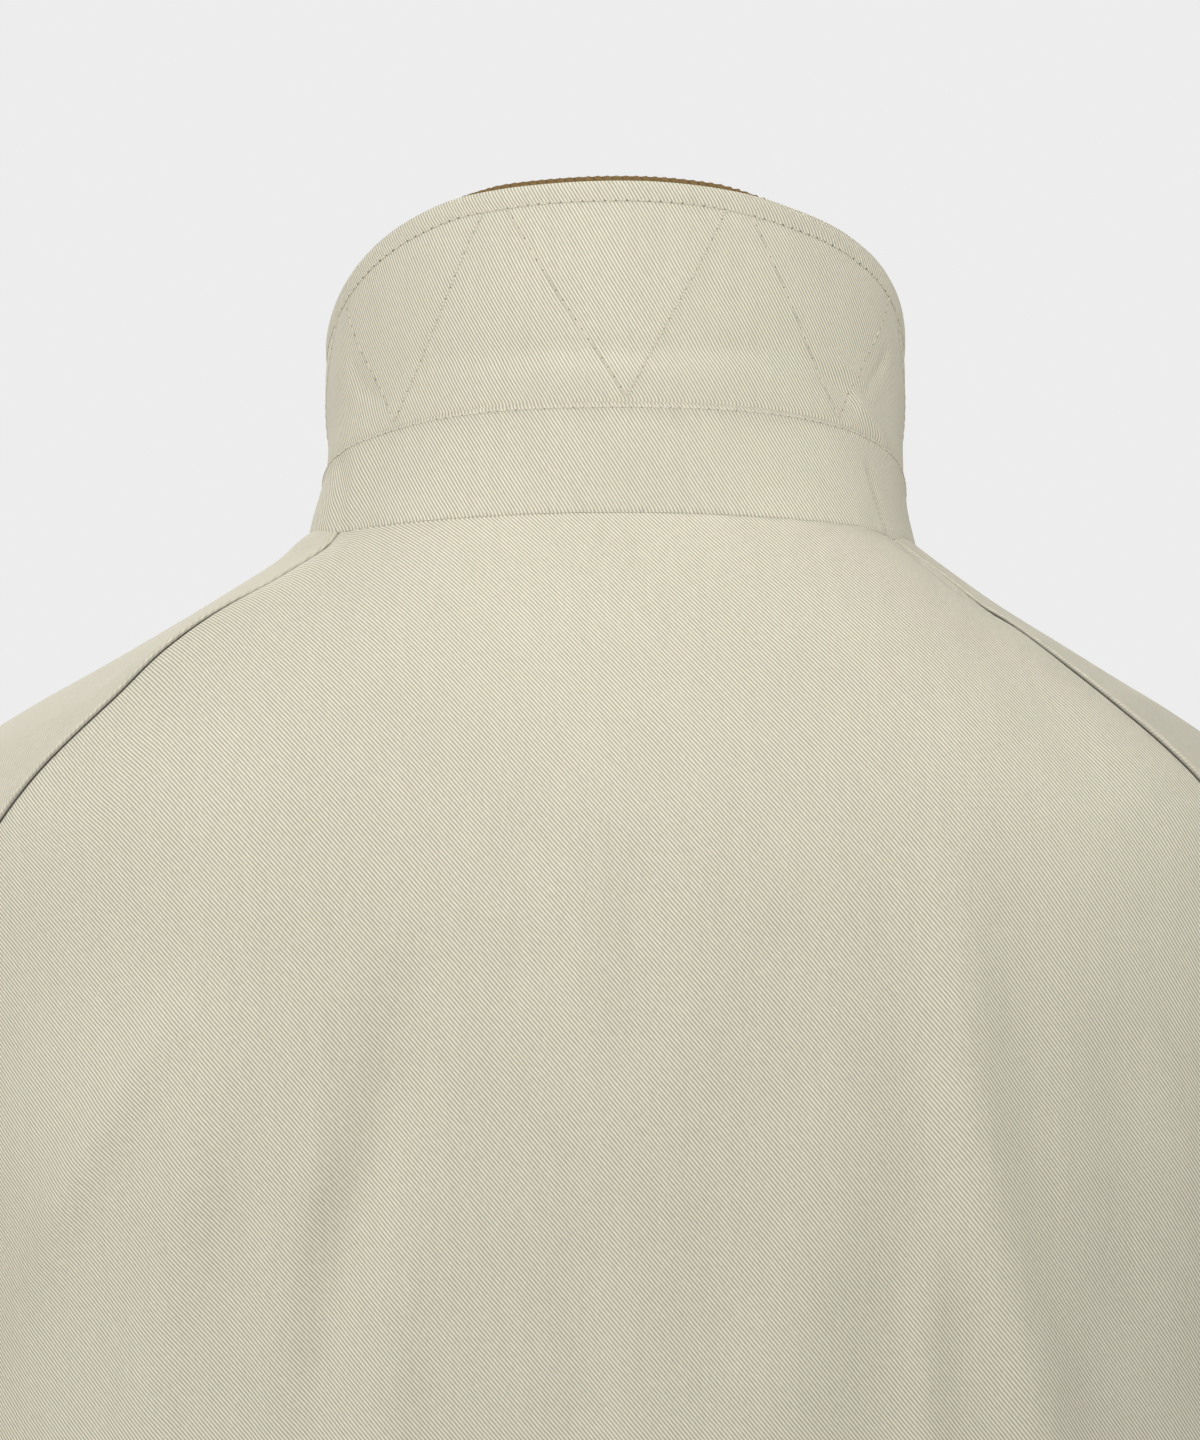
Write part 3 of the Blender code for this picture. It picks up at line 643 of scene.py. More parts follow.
def tuck_in(obj, keep, inward, rise):
    """Slides a sheet's neck edge level towards the neck and up, so that it ends inside the stand's wall."""
    low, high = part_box("collar_stand")
    points, _normals = read_points(obj)
    for i, (place, _normal, _out, _ends) in rim_frames(obj).items():
        if keep(place):
            way = Vector(((low.x + high.x) / 2 - place.x, 0.010 - place.y, 0)).normalized()
            points[i] += np.array(way * inward + Vector((0, 0, rise)))
    write_points(obj, points)


def near(reach, *nodes):
    """A test for places within a distance of some CAD nodes."""
    trees = []
    for name in nodes:
        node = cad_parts[name]
        trees.append(BVHTree.FromPolygons(
            [node.matrix_world @ v.co for v in node.data.vertices], [list(p.vertices) for p in node.data.polygons]))
    return lambda p: any(tree.find_nearest(Vector(p), reach)[0] is not None for tree in trees)


def curve_points(table, count=40):
    """Points on a smooth curve through a short table of places."""
    values = np.array(table, float)
    if len(values) == 2:
        return values[0] + (values[1] - values[0]) * np.linspace(0, 1, count)[:, None]
    rows = np.vstack([2 * values[0] - values[1], values, 2 * values[-1] - values[-2]])
    found = []
    for place in np.linspace(0, len(values) - 1, count):
        i = min(int(place), len(values) - 2)
        t = place - i
        a, b, c, d = rows[i : i + 4]
        found.append(0.5 * (2 * b + (c - a) * t + (2 * a - 5 * b + 4 * c - d) * t**2 + (3 * b - a - 3 * c + d) * t**3))
    return np.array(found)


def surface_tree(obj):
    return BVHTree.FromPolygons([v.co for v in obj.data.vertices], [list(p.vertices) for p in obj.data.polygons])


def press(obj, creases):
    """Presses soft troughs and ridges into a sheet. Each crease has its points, its half width and its
    height, negative for a trough; it fades out towards both ends."""
    tree = surface_tree(obj)
    points, normals = read_points(obj)
    rise = np.zeros(len(points))
    for table, half_width, height in creases:
        line = np.array([tree.find_nearest(Vector(p))[0] for p in curve_points(table)])
        apart = np.linalg.norm(points[:, None, :] - line[None, :, :], axis=2)
        nearest = apart.argmin(axis=1)
        d = apart.min(axis=1) / half_width
        run = nearest / (len(line) - 1)
        fade = np.clip(np.minimum(run, 1 - run) / 0.28, 0, 1)
        fade = fade * fade * (3 - 2 * fade)
        rise += height * fade * np.exp(-d * d) * (1 - 0.40 * d * d)
    write_points(obj, points + normals * rise[:, None])


# How the cloth settles over the shoulders and the collar, in millimetres: a place and its move to the
# wearer's left and up. The shoulders sink along their crests, each given by its side, height and move,
# the raglan seams ride up, and the collar fills out.
CRESTS = (
    (116, -12, -2.6), (126, -16, -4.2), (136, -21, -5.4), (146, -27, -6.2), (156, -33, -6.2), (166, -39, -6.0),
    (176, -45, -5.2), (186, -52, -4.4), (196, -59, -2.6),
    (-103, -8, -4.2), (-114, -16, -4.4), (-124, -23, -4.0), (-134, -31, -2.8), (-144, -38, -1.6), (-154, -45, -0.8),
)
SETTLED = (
    (110, 56, -20, 0, 2.6), (128, 62, -29, 0, 2.8), (141, 68, -40, 0, 2.8), (152, 73, -49, 0, 2.0),
    (166, 79, -62, 0, -1.6), (178, 83, -76, 0, -2.4), (190, 86, -90, 0, -2.4),
    (-100, 54, -16, 0, 1.6), (-109, 58, -22, 0, 0.5),
    (-130, 57, -38, 0, 3.2), (-143, 62, -50, 0, 4.2), (-157, 69, -63, 0, 4.6), (-171, 76, -78, 0, 4.6),
    (-183, 80, -89, 0, 4.0),
    (100, 18, 0, 6.8, -1.0), (98, 18, 6, 5.0, 0), (97, 16, 13, 2.9, 0), (96, 16, 19, 2.3, 0), (95, 11, 27, 2.8, 0),
    (96, 2, 34, 2.6, 0), (96, 3, 41, 2.6, 0), (96, 4, 48, 2.6, 0), (97, 1, 55, 2.3, 0), (97, 0, 62, 1.7, 0.3),
    (96, 3, 69, 1.4, 0.8), (94, 10, 75, 1.6, 1.2), (91, 18, 80, 1.5, 1.7), (87, 28, 86, 1.2, 2.0),
    (81, 37, 91, 0.8, 2.3), (75, 44, 95, 0.4, 2.5), (58, 60, 101, 0, 3.2), (42, 70, 105, 0, 2.2),
    (25, 76, 108, 0, 1.5), (9, 77, 109, 0, 1.4), (-8, 77, 109, 0, 1.4), (-24, 75, 108, 0, 0.9),
    (-40, 70, 105, 0, 0.5), (-57, 62, 100, 0, -0.4), (-75, 45, 93, -0.4, 0),
    (-85, 30, 86, -1.8, 0), (-90, 21, 81, -1.6, 0), (-93, 14, 75, -1.0, 0), (-95, 10, 62, -0.3, 0),
    (-95, 5, 36, -0.6, 0), (-93, 20, 26, -0.6, 0), (-94, 22, 20, 1.2, 0), (-95, 23, 13, 3.2, 0),
    (-96, 25, 6, 4.8, -0.6), (-98, 25, 0, 5.2, -2.0),
)


def settled(points):
    """Points of the cloth after it has settled; each place of the table reaches about 15 mm."""
    points = np.array(points, float)
    crests = [(x, y, z, 0, rise) for x, z, rise in CRESTS for y in (42, 26, 10, -6, -22)]
    table = np.array((*SETTLED, *crests), float) * 0.001
    near_neck = np.nonzero(points[:, 2] > -0.14)[0]
    apart = np.linalg.norm(points[near_neck][:, None, :] - table[None, :, :3], axis=2)
    weight = np.exp(-((apart / 0.014) ** 2))
    moved = weight @ table[:, 3:] / (weight.sum(axis=1) + 0.15)[:, None]
    points[near_neck, 0] += moved[:, 0]
    points[near_neck, 2] += moved[:, 1]
    return points


# ---------------------------------------------------------------- rows of stitches
ROWS = {"rows": [], "bars": [], "slits": []}


def spaced(points, pitch):
    """Places at even steps along a run of points."""
    points = np.array(points, float)
    steps = np.linalg.norm(np.diff(points, axis=0), axis=1)
    reach = np.concatenate([[0.0], np.cumsum(steps)])
    at = np.linspace(0, reach[-1], max(int(reach[-1] / pitch), 1) + 1)
    return np.stack([np.interp(at, reach, points[:, k]) for k in range(3)], axis=1)


def edge_rows(obj, keep, distance):
    """Runs of places on a sheet, this far in from the part of its open edge that passes a test."""
    frames = rim_frames(obj)
    tree = surface_tree(obj)
    edge = point_tree(rim_points(frames, keep))
    rows = []
    for run in rim_runs(frames, keep):
        spots = [tree.find_nearest(frames[i][0] - frames[i][2] * distance)[0] for i in run]
        spots = [spot for spot in spots if edge.find(spot)[2] > 0.96 * distance]
        if len(spots) > 2:
            rows.append(spots)
    return rows


def sew(obj, runs, pitch, hole=1.0):
    """Notes rows to be sewn along runs of places on a sheet, with how open their needle holes stand, which sizes the
    dark dots painted as the holes' shade.
    """
    tree = surface_tree(obj)
    for run in runs:
        ROWS["rows"].append((run, pitch, tree, hole))


# ---------------------------------------------------------------- places on the cloth
def near_hem(p):
    return p.z < HEM + 0.035


def near_cuff(p):
    return p.z < CUFF + 0.040


def near_opening(p):
    return abs(p.x) < 0.0235 and p.y < 0 and p.z > HEM + 0.002


SEAM_OVER = ((0.0, -0.00030), (0.0008, 0.00050), (0.0020, 0.00045), (0.0045, 0.00010), (0.0100, 0.0))
SEAM_SOFT = ((0.0, -0.00025), (0.0010, 0.00005), (0.0030, 0.00010), (0.0060, 0.0), (0.0100, 0.0))
TURNED_HEM = ((0.0, -0.00040), (0.0012, 0.00020), (0.0150, 0.00020), (0.0235, -0.00055), (0.0280, 0.0))
TURNED_EDGE = ((0.0, -0.00045), (0.0010, 0.00015), (0.0045, 0.00020), (0.0065, -0.00045), (0.0100, -0.00015), (0.0130, 0.0))

# Soft folds over the lower back and creases at the shoulders, as places on the cloth with the half
# width and the height, in metres.
BACK_CREASES = (
    (((0.243, 0.12, -0.285), (0.204, 0.12, -0.235), (0.181, 0.12, -0.205), (0.158, 0.12, -0.176),
      (0.139, 0.12, -0.151)), 0.010, 0.0030),
    (((0.134, 0.12, -0.151), (0.140, 0.12, -0.200), (0.152, 0.12, -0.246), (0.165, 0.12, -0.308),
      (0.173, 0.12, -0.458)), 0.014, 0.0032),
    (((0.123, 0.12, -0.190), (0.126, 0.12, -0.249), (0.124, 0.12, -0.308), (0.126, 0.12, -0.393)), 0.009, -0.0016),
    (((0.100, 0.12, -0.145), (0.100, 0.12, -0.197), (0.105, 0.12, -0.249)), 0.006, 0.0013),
    (((0.071, 0.12, -0.119), (0.074, 0.12, -0.171), (0.080, 0.12, -0.207), (0.090, 0.12, -0.236),
      (0.098, 0.12, -0.272), (0.102, 0.12, -0.308), (0.113, 0.12, -0.458)), 0.012, -0.0048),
    (((0.075, 0.12, -0.230), (0.074, 0.12, -0.272), (0.077, 0.12, -0.308), (0.080, 0.12, -0.426)), 0.008, 0.0016),
    (((0.032, 0.12, -0.092), (0.034, 0.12, -0.132), (0.032, 0.12, -0.171)), 0.012, -0.0012),
    (((-0.002, 0.12, -0.099), (-0.002, 0.12, -0.151), (-0.000, 0.12, -0.204)), 0.012, -0.0016),
    (((0.022, 0.12, -0.207), (0.015, 0.12, -0.262), (0.017, 0.12, -0.308), (0.019, 0.12, -0.393)), 0.014, -0.0014),
    (((-0.072, 0.12, -0.132), (-0.063, 0.12, -0.210), (-0.053, 0.12, -0.275), (-0.048, 0.12, -0.308),
      (-0.045, 0.12, -0.458)), 0.024, 0.0032),
    (((-0.098, 0.12, -0.217), (-0.094, 0.12, -0.269), (-0.093, 0.12, -0.308),
      (-0.093, 0.12, -0.426)), 0.008, 0.0020),
    (((-0.103, 0.12, -0.086), (-0.106, 0.12, -0.151), (-0.111, 0.12, -0.217), (-0.126, 0.12, -0.269),
      (-0.136, 0.12, -0.308), (-0.170, 0.12, -0.458)), 0.015, 0.0054),
    (((-0.163, 0.12, -0.151), (-0.167, 0.12, -0.223), (-0.170, 0.12, -0.295)), 0.016, -0.0020),
    (((0.012, 0.083, -0.012), (-0.007, 0.091, -0.027), (-0.028, 0.098, -0.042)), 0.010, 0.0005),
    (((-0.092, 0.050, -0.008), (-0.100, 0.054, -0.014), (-0.109, 0.058, -0.022), (-0.120, 0.059, -0.031),
      (-0.134, 0.060, -0.042)), 0.004, -0.0012),
)
FRONT_CREASES = (
    (((0.060, -0.13, -0.120), (0.075, -0.13, -0.190), (0.105, -0.12, -0.260)), 0.014, -0.0030),
    (((0.082, -0.13, -0.110), (0.100, -0.13, -0.180), (0.124, -0.12, -0.240)), 0.012, 0.0022),
    (((0.172, -0.09, -0.225), (0.150, -0.11, -0.290), (0.132, -0.12, -0.380)), 0.012, -0.0034),
    (((0.100, -0.12, -0.300), (0.108, -0.12, -0.420), (0.112, -0.12, -0.560), (0.118, -0.12, -0.720)), 0.017, 0.0036),
    (((0.040, -0.14, -0.380), (0.060, -0.14, -0.480), (0.068, -0.14, -0.640)), 0.016, -0.0034),
    (((0.165, -0.09, -0.420), (0.160, -0.10, -0.560), (0.158, -0.10, -0.700)), 0.015, -0.0030),
)


def mirror(creases):
    """The same creases on the other side, each moved a little so that the sides differ."""
    turned = []
    for n, (table, half_width, height) in enumerate(creases):
        slip = 0.006 * (-1) ** n
        turned.append((tuple((-x, y, z + slip) for x, y, z in table), half_width * 1.1, height * 0.85))
    return tuple(turned)


SLEEVE_CREASES = (
    (((0.178, 0.07, -0.060), (0.200, 0.07, -0.078), (0.225, 0.06, -0.098)), 0.006, -0.0008),
    (((0.232, 0.06, -0.150), (0.262, 0.07, -0.175), (0.300, 0.05, -0.190)), 0.012, -0.0030),
    (((0.236, 0.05, -0.185), (0.268, 0.07, -0.205), (0.306, 0.05, -0.215)), 0.010, 0.0020),
    (((0.238, 0.03, -0.215), (0.275, 0.06, -0.235), (0.315, 0.05, -0.245)), 0.012, -0.0034),
    (((0.240, -0.03, -0.180), (0.272, -0.07, -0.190), (0.312, -0.06, -0.185)), 0.012, -0.0028),
    (((0.245, -0.03, -0.225), (0.280, -0.07, -0.238), (0.325, -0.06, -0.232)), 0.012, -0.0034),
    (((0.262, 0.03, -0.300), (0.300, 0.07, -0.322), (0.350, 0.05, -0.332)), 0.013, -0.0030),
    (((0.262, -0.03, -0.350), (0.296, -0.07, -0.366), (0.345, -0.05, -0.360)), 0.012, -0.0032),
    (((0.266, -0.03, -0.385), (0.300, -0.07, -0.400), (0.350, -0.05, -0.395)), 0.010, 0.0022),
    (((0.270, -0.03, -0.420), (0.300, -0.07, -0.437), (0.350, -0.05, -0.432)), 0.011, -0.0036),
    (((0.280, -0.04, -0.495), (0.310, -0.08, -0.505), (0.360, -0.06, -0.492)), 0.011, -0.0030),
    (((0.285, 0.03, -0.470), (0.312, 0.06, -0.488), (0.358, 0.05, -0.490)), 0.013, -0.0024),
)


def finish_sheet(obj, wall, material):
    """Settles and walls a sheet, and attaches it to the body it rides on."""
    mesh = obj.data
    layer = mesh.uv_layers["flat"].data
    flat = np.empty(len(layer) * 2, np.float32)
    layer.foreach_get("uv", flat)
    flat = flat.reshape(-1, 2)
    write_points(obj, settled(read_points(obj)[0]))
    thicken(obj, wall, material)
    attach(obj, "root")


# The roll line and the creases of the turned-up leaf, and the stand's crease at the right neck point.
LEAF_CREASES = (
    (((0.080, 0.042, 0.0505), (0.0352, 0.069, 0.0530), (0.0, 0.075, 0.0535), (-0.0378, 0.068, 0.0545),
      (-0.078, 0.043, 0.0570)), 0.0036, -0.0010),
    (((0.086, 0.035, 0.0440), (0.0352, 0.069, 0.0460), (0.0, 0.075, 0.0465), (-0.0378, 0.068, 0.0470),
      (-0.070, 0.049, 0.0490)), 0.0056, 0.0007),
    (((-0.022, 0.0740, 0.0800), (-0.0310, 0.0722, 0.0740), (-0.0400, 0.0690, 0.0700)), 0.0040, -0.0008),
    (((-0.0600, 0.055, 0.0520), (-0.0703, 0.048, 0.0453), (-0.0780, 0.041, 0.0400)), 0.0034, -0.0011),
    (((-0.0680, 0.050, 0.0560), (-0.0790, 0.040, 0.0490), (-0.0880, 0.028, 0.0420)), 0.0030, 0.0011),
    (((-0.0900, 0.023, 0.0620), (-0.0868, 0.029, 0.0536), (-0.0780, 0.041, 0.0400)), 0.0028, -0.0008),
    (((-0.0740, 0.044, 0.0450), (-0.0830, 0.034, 0.0340), (-0.0915, 0.020, 0.0220)), 0.0034, 0.0014),
    (((0.0930, 0.024, 0.0600), (0.0890, 0.030, 0.0470), (0.0780, 0.043, 0.0400)), 0.0040, -0.0008),
)
STAND_CREASES = (
    (((-0.0830, 0.0440, 0.0230), (-0.0870, 0.0400, 0.0080), (-0.0900, 0.0380, -0.0080)), 0.0032, -0.0010),
    (((-0.0780, 0.0460, 0.0230), (-0.0820, 0.0440, 0.0080), (-0.0850, 0.0430, -0.0080)), 0.0032, 0.0007),
    (((0.0940, 0.0200, 0.0270), (0.0900, 0.0320, 0.0120), (0.0910, 0.0350, -0.0040)), 0.0040, -0.0009),
)
# How far round from the centre back the zig-zag of the leaf turns, at its feet and at its peaks, first to the
# wearer's left and then to the right, where it was sewn closer.
ZIGZAG_FEET = {1: (0.0, 0.0850, 0.1700), -1: (0.0, 0.0779, 0.1700)}
ZIGZAG_PEAKS = {
    1: ((0.0410, 0.0495), (0.1220, 0.1310), (0.2050, 0.2140)),
    -1: ((0.0340, 0.0431), (0.1150, 0.1240), (0.2050, 0.2140)),
}


def from_centre_back(points):
    """The distance of each place of a run from the centre back, positive to the wearer's left."""
    points = np.array(points, float)
    reach = np.concatenate([[0.0], np.cumsum(np.linalg.norm(np.diff(points, axis=0), axis=1))])
    middle = int(np.argmin(np.abs(points[:, 0]) + (points[:, 1] < 0)))
    away = reach - reach[middle]
    return away * (1 if points[0, 0] < points[-1, 0] else -1)


def place_along(points, away, at):
    order = np.argsort(away)
    return np.array([np.interp(at, away[order], np.array(points, float)[order, k]) for k in range(3)])


def zigzag(obj, foot_row, peak_row):
    """The straight rows that hold the leaf's two layers together, up and down between its edges."""
    feet, peaks = from_centre_back(foot_row), from_centre_back(peak_row)
    tree = surface_tree(obj)
    runs = []
    for side in (1, -1):
        corners = []
        for foot, pair in zip(ZIGZAG_FEET[side], ZIGZAG_PEAKS[side]):
            corners.append(place_along(foot_row, feet, side * foot))
            for peak in pair:
                if peak < np.abs(peaks).max() - 0.012:
                    corners.append(place_along(peak_row, peaks, side * peak))
        for a, b in zip(corners[:-1], corners[1:]):
            runs.append([tree.find_nearest(Vector(a + (b - a) * t))[0] for t in np.linspace(0, 1, 25)])
    return runs


class OBJECT_OT_jacket_body(bpy.types.Operator):
    """Makes the back and the two fronts of cotton twill"""

    bl_idname = "object.jacket_body"
    bl_label = "Back and fronts"

    def execute(self, context):
        twill, stitch = context.scene.jacket_twill, context.scene.jacket_stitch
        under_sleeve = near(0.0030, "sleeve_left", "sleeve_right")
        under_stand = near(0.0030, "collar_stand")
        beside_back = near(0.0030, "back")
        for node, creases in (
            ("back", BACK_CREASES),
            ("front_left", FRONT_CREASES),
            ("front_right", mirror(FRONT_CREASES)),
        ):
            obj = open_sheet(node, f"{node}_cloth", twill.wall, mirrored=True)
            lay_flat(obj)
            refine(obj, 3)
            turn_in_edges(obj, 2)
            press(obj, creases)
            low = min(v.co.z for v in obj.data.vertices)
            hem_rows = edge_rows(obj, lambda p: p.z < low + 0.004, stitch.hem_row)
            opening_rows = edge_rows(obj, near_opening, 0.0060) if node == "front_left" else []
            shape_edges(obj, ((near_hem, TURNED_HEM), (near_opening, TURNED_EDGE)))
            sew(obj, hem_rows, 0.0034)
            sew(obj, opening_rows, stitch.length)
            if node == "front_left":
                mark_buttonholes(obj, context.scene.jacket_button)
            if node == "back":
                hidden = lambda p: under_sleeve(p) and not under_stand(p)
            else:
                hidden = lambda p: (under_sleeve(p) or beside_back(p)) and not under_stand(p)
            # Painted shade: darkens the cloth beside the sleeves' overhanging edges.
            mark_seams(obj, hidden, 0.75, 0.0010)
            tuck_in(obj, under_stand, 0.0011, 0.0004)
            tuck_under(obj, hidden, 0.0013, 0.0019, fade=0.010)
            finish_sheet(obj, twill.wall, cotton_twill(twill, twill.slant, 1.0))
            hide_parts(node)
        return {"FINISHED"}


class OBJECT_OT_jacket_sleeves(bpy.types.Operator):
    """Makes the two raglan sleeves, whose turned edges lie over the back and the fronts"""

    bl_idname = "object.jacket_sleeves"
    bl_label = "Sleeves"

    def execute(self, context):
        twill, stitch = context.scene.jacket_twill, context.scene.jacket_stitch
        under_stand = near(0.0030, "collar_stand")
        for node, creases in (("sleeve_left", SLEEVE_CREASES), ("sleeve_right", mirror(SLEEVE_CREASES))):
            obj = open_sheet(node, f"{node}_cloth", twill.wall)
            cut_line(obj)
            lay_flat(obj)
            refine(obj, 3)
            turn_in_edges(obj, 2)
            press(obj, creases)
            cuff_rows = edge_rows(obj, near_cuff, stitch.hem_row)
            shape_edges(obj, (
                (near_cuff, TURNED_HEM),
                (lambda p: not near_cuff(p) and not under_stand(p), SEAM_OVER),
            ))
            sew(obj, cuff_rows, 0.0034)
            raglan = lambda p: not near_cuff(p) and not under_stand(p)
            # Painted shade: darkens the sleeve's turned raglan edge.
            mark_seams(obj, raglan, 0.85, 0.0002)
            tuck_under(obj, raglan, 0.0006, 0.0)
            tuck_in(obj, under_stand, 0.0011, 0.0004)
            finish_sheet(obj, twill.wall, cotton_twill(twill, twill.slant, 0.35))
            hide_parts(node)
        return {"FINISHED"}


class OBJECT_OT_jacket_collar(bpy.types.Operator):
    """Makes the collar stand and the undercollar of cotton twill"""

    bl_idname = "object.jacket_collar"
    bl_label = "Stand and undercollar"

    def execute(self, context):
        twill, stitch = context.scene.jacket_twill, context.scene.jacket_stitch
        steep = twill.slant + math.radians(8)
        by_leaf, by_stand = near(0.0030, "undercollar"), near(0.0030, "collar_stand")
        by_body = near(0.0030, "back", "front_left", "front_right", "sleeve_left", "sleeve_right")

        stand = open_sheet("collar_stand", "collar_stand_cloth", twill.wall)
        lay_flat(stand)
        refine(stand, 3)
        turn_in_edges(stand, 1)
        press(stand, STAND_CREASES)
        edge_stitch = edge_rows(stand, by_leaf, 0.0016)
        shape_edges(stand, ((by_leaf, SEAM_OVER), (lambda p: not by_leaf(p) and not by_body(p), SEAM_SOFT)))
        sew(stand, edge_stitch, 0.0032, hole=0.75)
        # Painted shade: a faint darkening along the stand's edges at the leaf and at the body.
        mark_seams(stand, by_leaf, 0.14, 0.0002)
        mark_seams(stand, by_body, 0.05, 0.0002)
        tuck_under(stand, by_leaf, 0.0004, 0.0)
        tuck_under(stand, by_body, 0.0006, 0.0)
        finish_sheet(stand, twill.wall, cotton_twill(twill, steep, 1.0))
        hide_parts("collar_stand")

        leaf = open_sheet("undercollar", "undercollar_cloth", twill.wall)
        lay_flat(leaf)
        refine(leaf, 3)
        turn_in_edges(leaf, 1)
        press(leaf, LEAF_CREASES)
        foot_row = max(edge_rows(leaf, by_stand, 0.0016), key=len)
        top_row = max(edge_rows(leaf, lambda p: not by_stand(p), stitch.top_row), key=len)
        peak_row = [p for p in top_row if p[2] > foot_row[0][2]]
        shape_edges(leaf, ((lambda p: not by_stand(p), TURNED_EDGE),))
        sew(leaf, [top_row], stitch.length)
        sew(leaf, zigzag(leaf, foot_row, peak_row), stitch.length, hole=0.76)
        tuck_under(leaf, by_stand, 0.0013, 0.0010)
        finish_sheet(leaf, twill.wall, cotton_twill(twill, steep, 1.0))
        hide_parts("undercollar")
        return {"FINISHED"}


class OBJECT_OT_jacket_upper_collar(bpy.types.Operator):
    """Makes the corduroy upper collar, with its wales as ridges"""

    bl_idname = "object.jacket_upper_collar"
    bl_label = "Corduroy upper collar"

    def execute(self, context):
        cord = context.scene.jacket_corduroy
        obj = open_sheet("upper_collar", "upper_collar_cloth", 0.0018, facing="inner")
        lay_flat(obj)
        refine(obj, 2)
        frames = rim_frames(obj)
        top = max(rim_runs(frames, lambda p: not near(0.0060, "collar_stand")(p)), key=len)
        edge = [frames[i][0] for i in top]
        away = from_centre_back(edge)
        tree = point_tree(edge)
        bm = bmesh.new()
        bm.from_mesh(obj.data)
        level = [e for e in bm.edges if abs((e.verts[0].co - e.verts[1].co).normalized().z) < 0.6]
        bmesh.ops.subdivide_edges(bm, edges=level, cuts=4, use_grid_fill=True)
        bm.to_mesh(obj.data)
        bm.free()
        points, normals = read_points(obj)
        across = np.zeros(len(points))
        layer = obj.data.uv_layers["flat"].data
        for loop in obj.data.loops:
            across[loop.vertex_index] = layer[loop.index].uv[0]
        # 1 on top of each wale and 0 between them: it raises the wales, and the corduroy's colour reads it to paint
        #                                           shade between them.
        ridge = np.abs(np.cos(math.pi * across / cord.wale)) ** 0.7
        attribute = obj.data.attributes.new("wale", "FLOAT", "POINT")
        attribute.data.foreach_set("value", ridge.astype(np.float32))
        for i, p in enumerate(points):
            _place, n, d = tree.find(p)
            points[i] += normals[i] * cord.pile * (ridge[i] - 0.6) * np.interp(d, (0, 0.004), (0.35, 1.0))
            if d < 0.012:
                share = np.interp(abs(away[n] - 0.006), (0.60 * cord.shown, 1.20 * cord.shown), (0.0, 1.0))
                points[i][2] -= 0.0030 * share * (1 - d / 0.012)
                points[i][2] -= 0.0003 * (1 - d / 0.012)
        write_points(obj, points)
        finish_sheet(obj, cord.wall, corduroy_pile(cord))
        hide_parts("upper_collar")
        return {"FINISHED"}


def button_frame(node):
    """The middle of a button's disc, and the way its face looks."""
    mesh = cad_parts[node].data
    points = np.array([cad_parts[node].matrix_world @ v.co for v in mesh.vertices])
    middle = (points.max(axis=0) + points.min(axis=0)) / 2
    axis = np.linalg.svd(points - points.mean(axis=0), full_matrices=False)[2][2]
    if axis[1] > 0:
        axis = -axis
    return Vector(middle), Vector(axis).normalized()


def mark_buttonholes(obj, settings):
    """Notes a worked buttonhole beside each button: a slit on the front, closed by the button's pull and drawn as a
    line of painted shade, with thread over both of its edges and a bar at its end. Only what the button leaves free is
    worked."""
    tree = surface_tree(obj)
    for n in range(1, 6):
        middle, axis = button_frame(f"button_{n}")
        level = Vector((0, 0, 1)).cross(axis).normalized()
        if level.x < 0:
            level = -level
        up = axis.cross(level).normalized()
        start, end = settings.radius - 0.0015, settings.radius + 0.0095
        on_cloth = lambda s, t: tree.find_nearest(middle + level * s + up * t)[0]
        ROWS["slits"].append((on_cloth(start, 0), on_cloth(end, 0), tree))
        for s in np.arange(start, end, 0.00055):
            for t in (0.0010, -0.0010):
                ROWS["bars"].append((on_cloth(s, t * 0.15), on_cloth(s + 0.0001, t * 2.0), 0.00050, tree))
        ROWS["bars"].append((on_cloth(end, -0.0021), on_cloth(end, 0.0021), 0.0009, tree))


def stamp(template, place, along, normal, size):
    """A copy of a template's points, laid at a place with its length along a direction."""
    x = along.normalized()
    y = normal.cross(x).normalized()
    turned = Matrix((x, y, x.cross(y))).transposed()
    return [place + turned @ Vector((p[0] * size[0], p[1] * size[1], p[2] * size[2])) for p in template]


def shape_template(name, make):
    """Runs an operator that adds a primitive, and keeps its points and faces."""
    select_only()
    make()
    obj = bpy.context.object
    points = [tuple(v.co) for v in obj.data.vertices]
    faces = [list(p.vertices) for p in obj.data.polygons]
    bpy.data.objects.remove(obj)
    return points, faces


def gather(name, parts, material):
    """One mesh object from many small ones."""
    points, faces = [], []
    for some, tiles in parts:
        faces += [[i + len(points) for i in tile] for tile in tiles]
        points += some
    mesh = bpy.data.meshes.new(name)
    mesh.from_pydata([tuple(p) for p in settled(points)], [], faces)
    mesh.materials.append(material)
    mesh.shade_smooth()
    obj = bpy.data.objects.new(name, mesh)
    bpy.context.scene.collection.objects.link(obj)
    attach(obj, "root")
    return obj


def thread_grain():
    """A stitch's shape: a short spindle, fuller above, its ends going down into the cloth."""
    bpy.ops.mesh.primitive_uv_sphere_add(segments=6, ring_count=5, radius=0.5, location=(0, 0, 0))
    bpy.ops.object.mode_set(mode="EDIT")
    bpy.ops.transform.rotate(value=math.pi / 2, orient_axis="Y", center_override=(0, 0, 0))
    bpy.ops.object.mode_set(mode="OBJECT")


def painted_shade_cone():
    """The shape of a dark dot painted as a needle hole's shade: a little cone with its point in the cloth."""
    bpy.ops.mesh.primitive_cone_add(vertices=6, radius1=0.5, radius2=0.1, depth=1, location=(0, 0, 0))
    bpy.ops.object.mode_set(mode="EDIT")
    bpy.ops.transform.rotate(value=math.pi, orient_axis="Y", center_override=(0, 0, 0))
    bpy.ops.object.mode_set(mode="OBJECT")


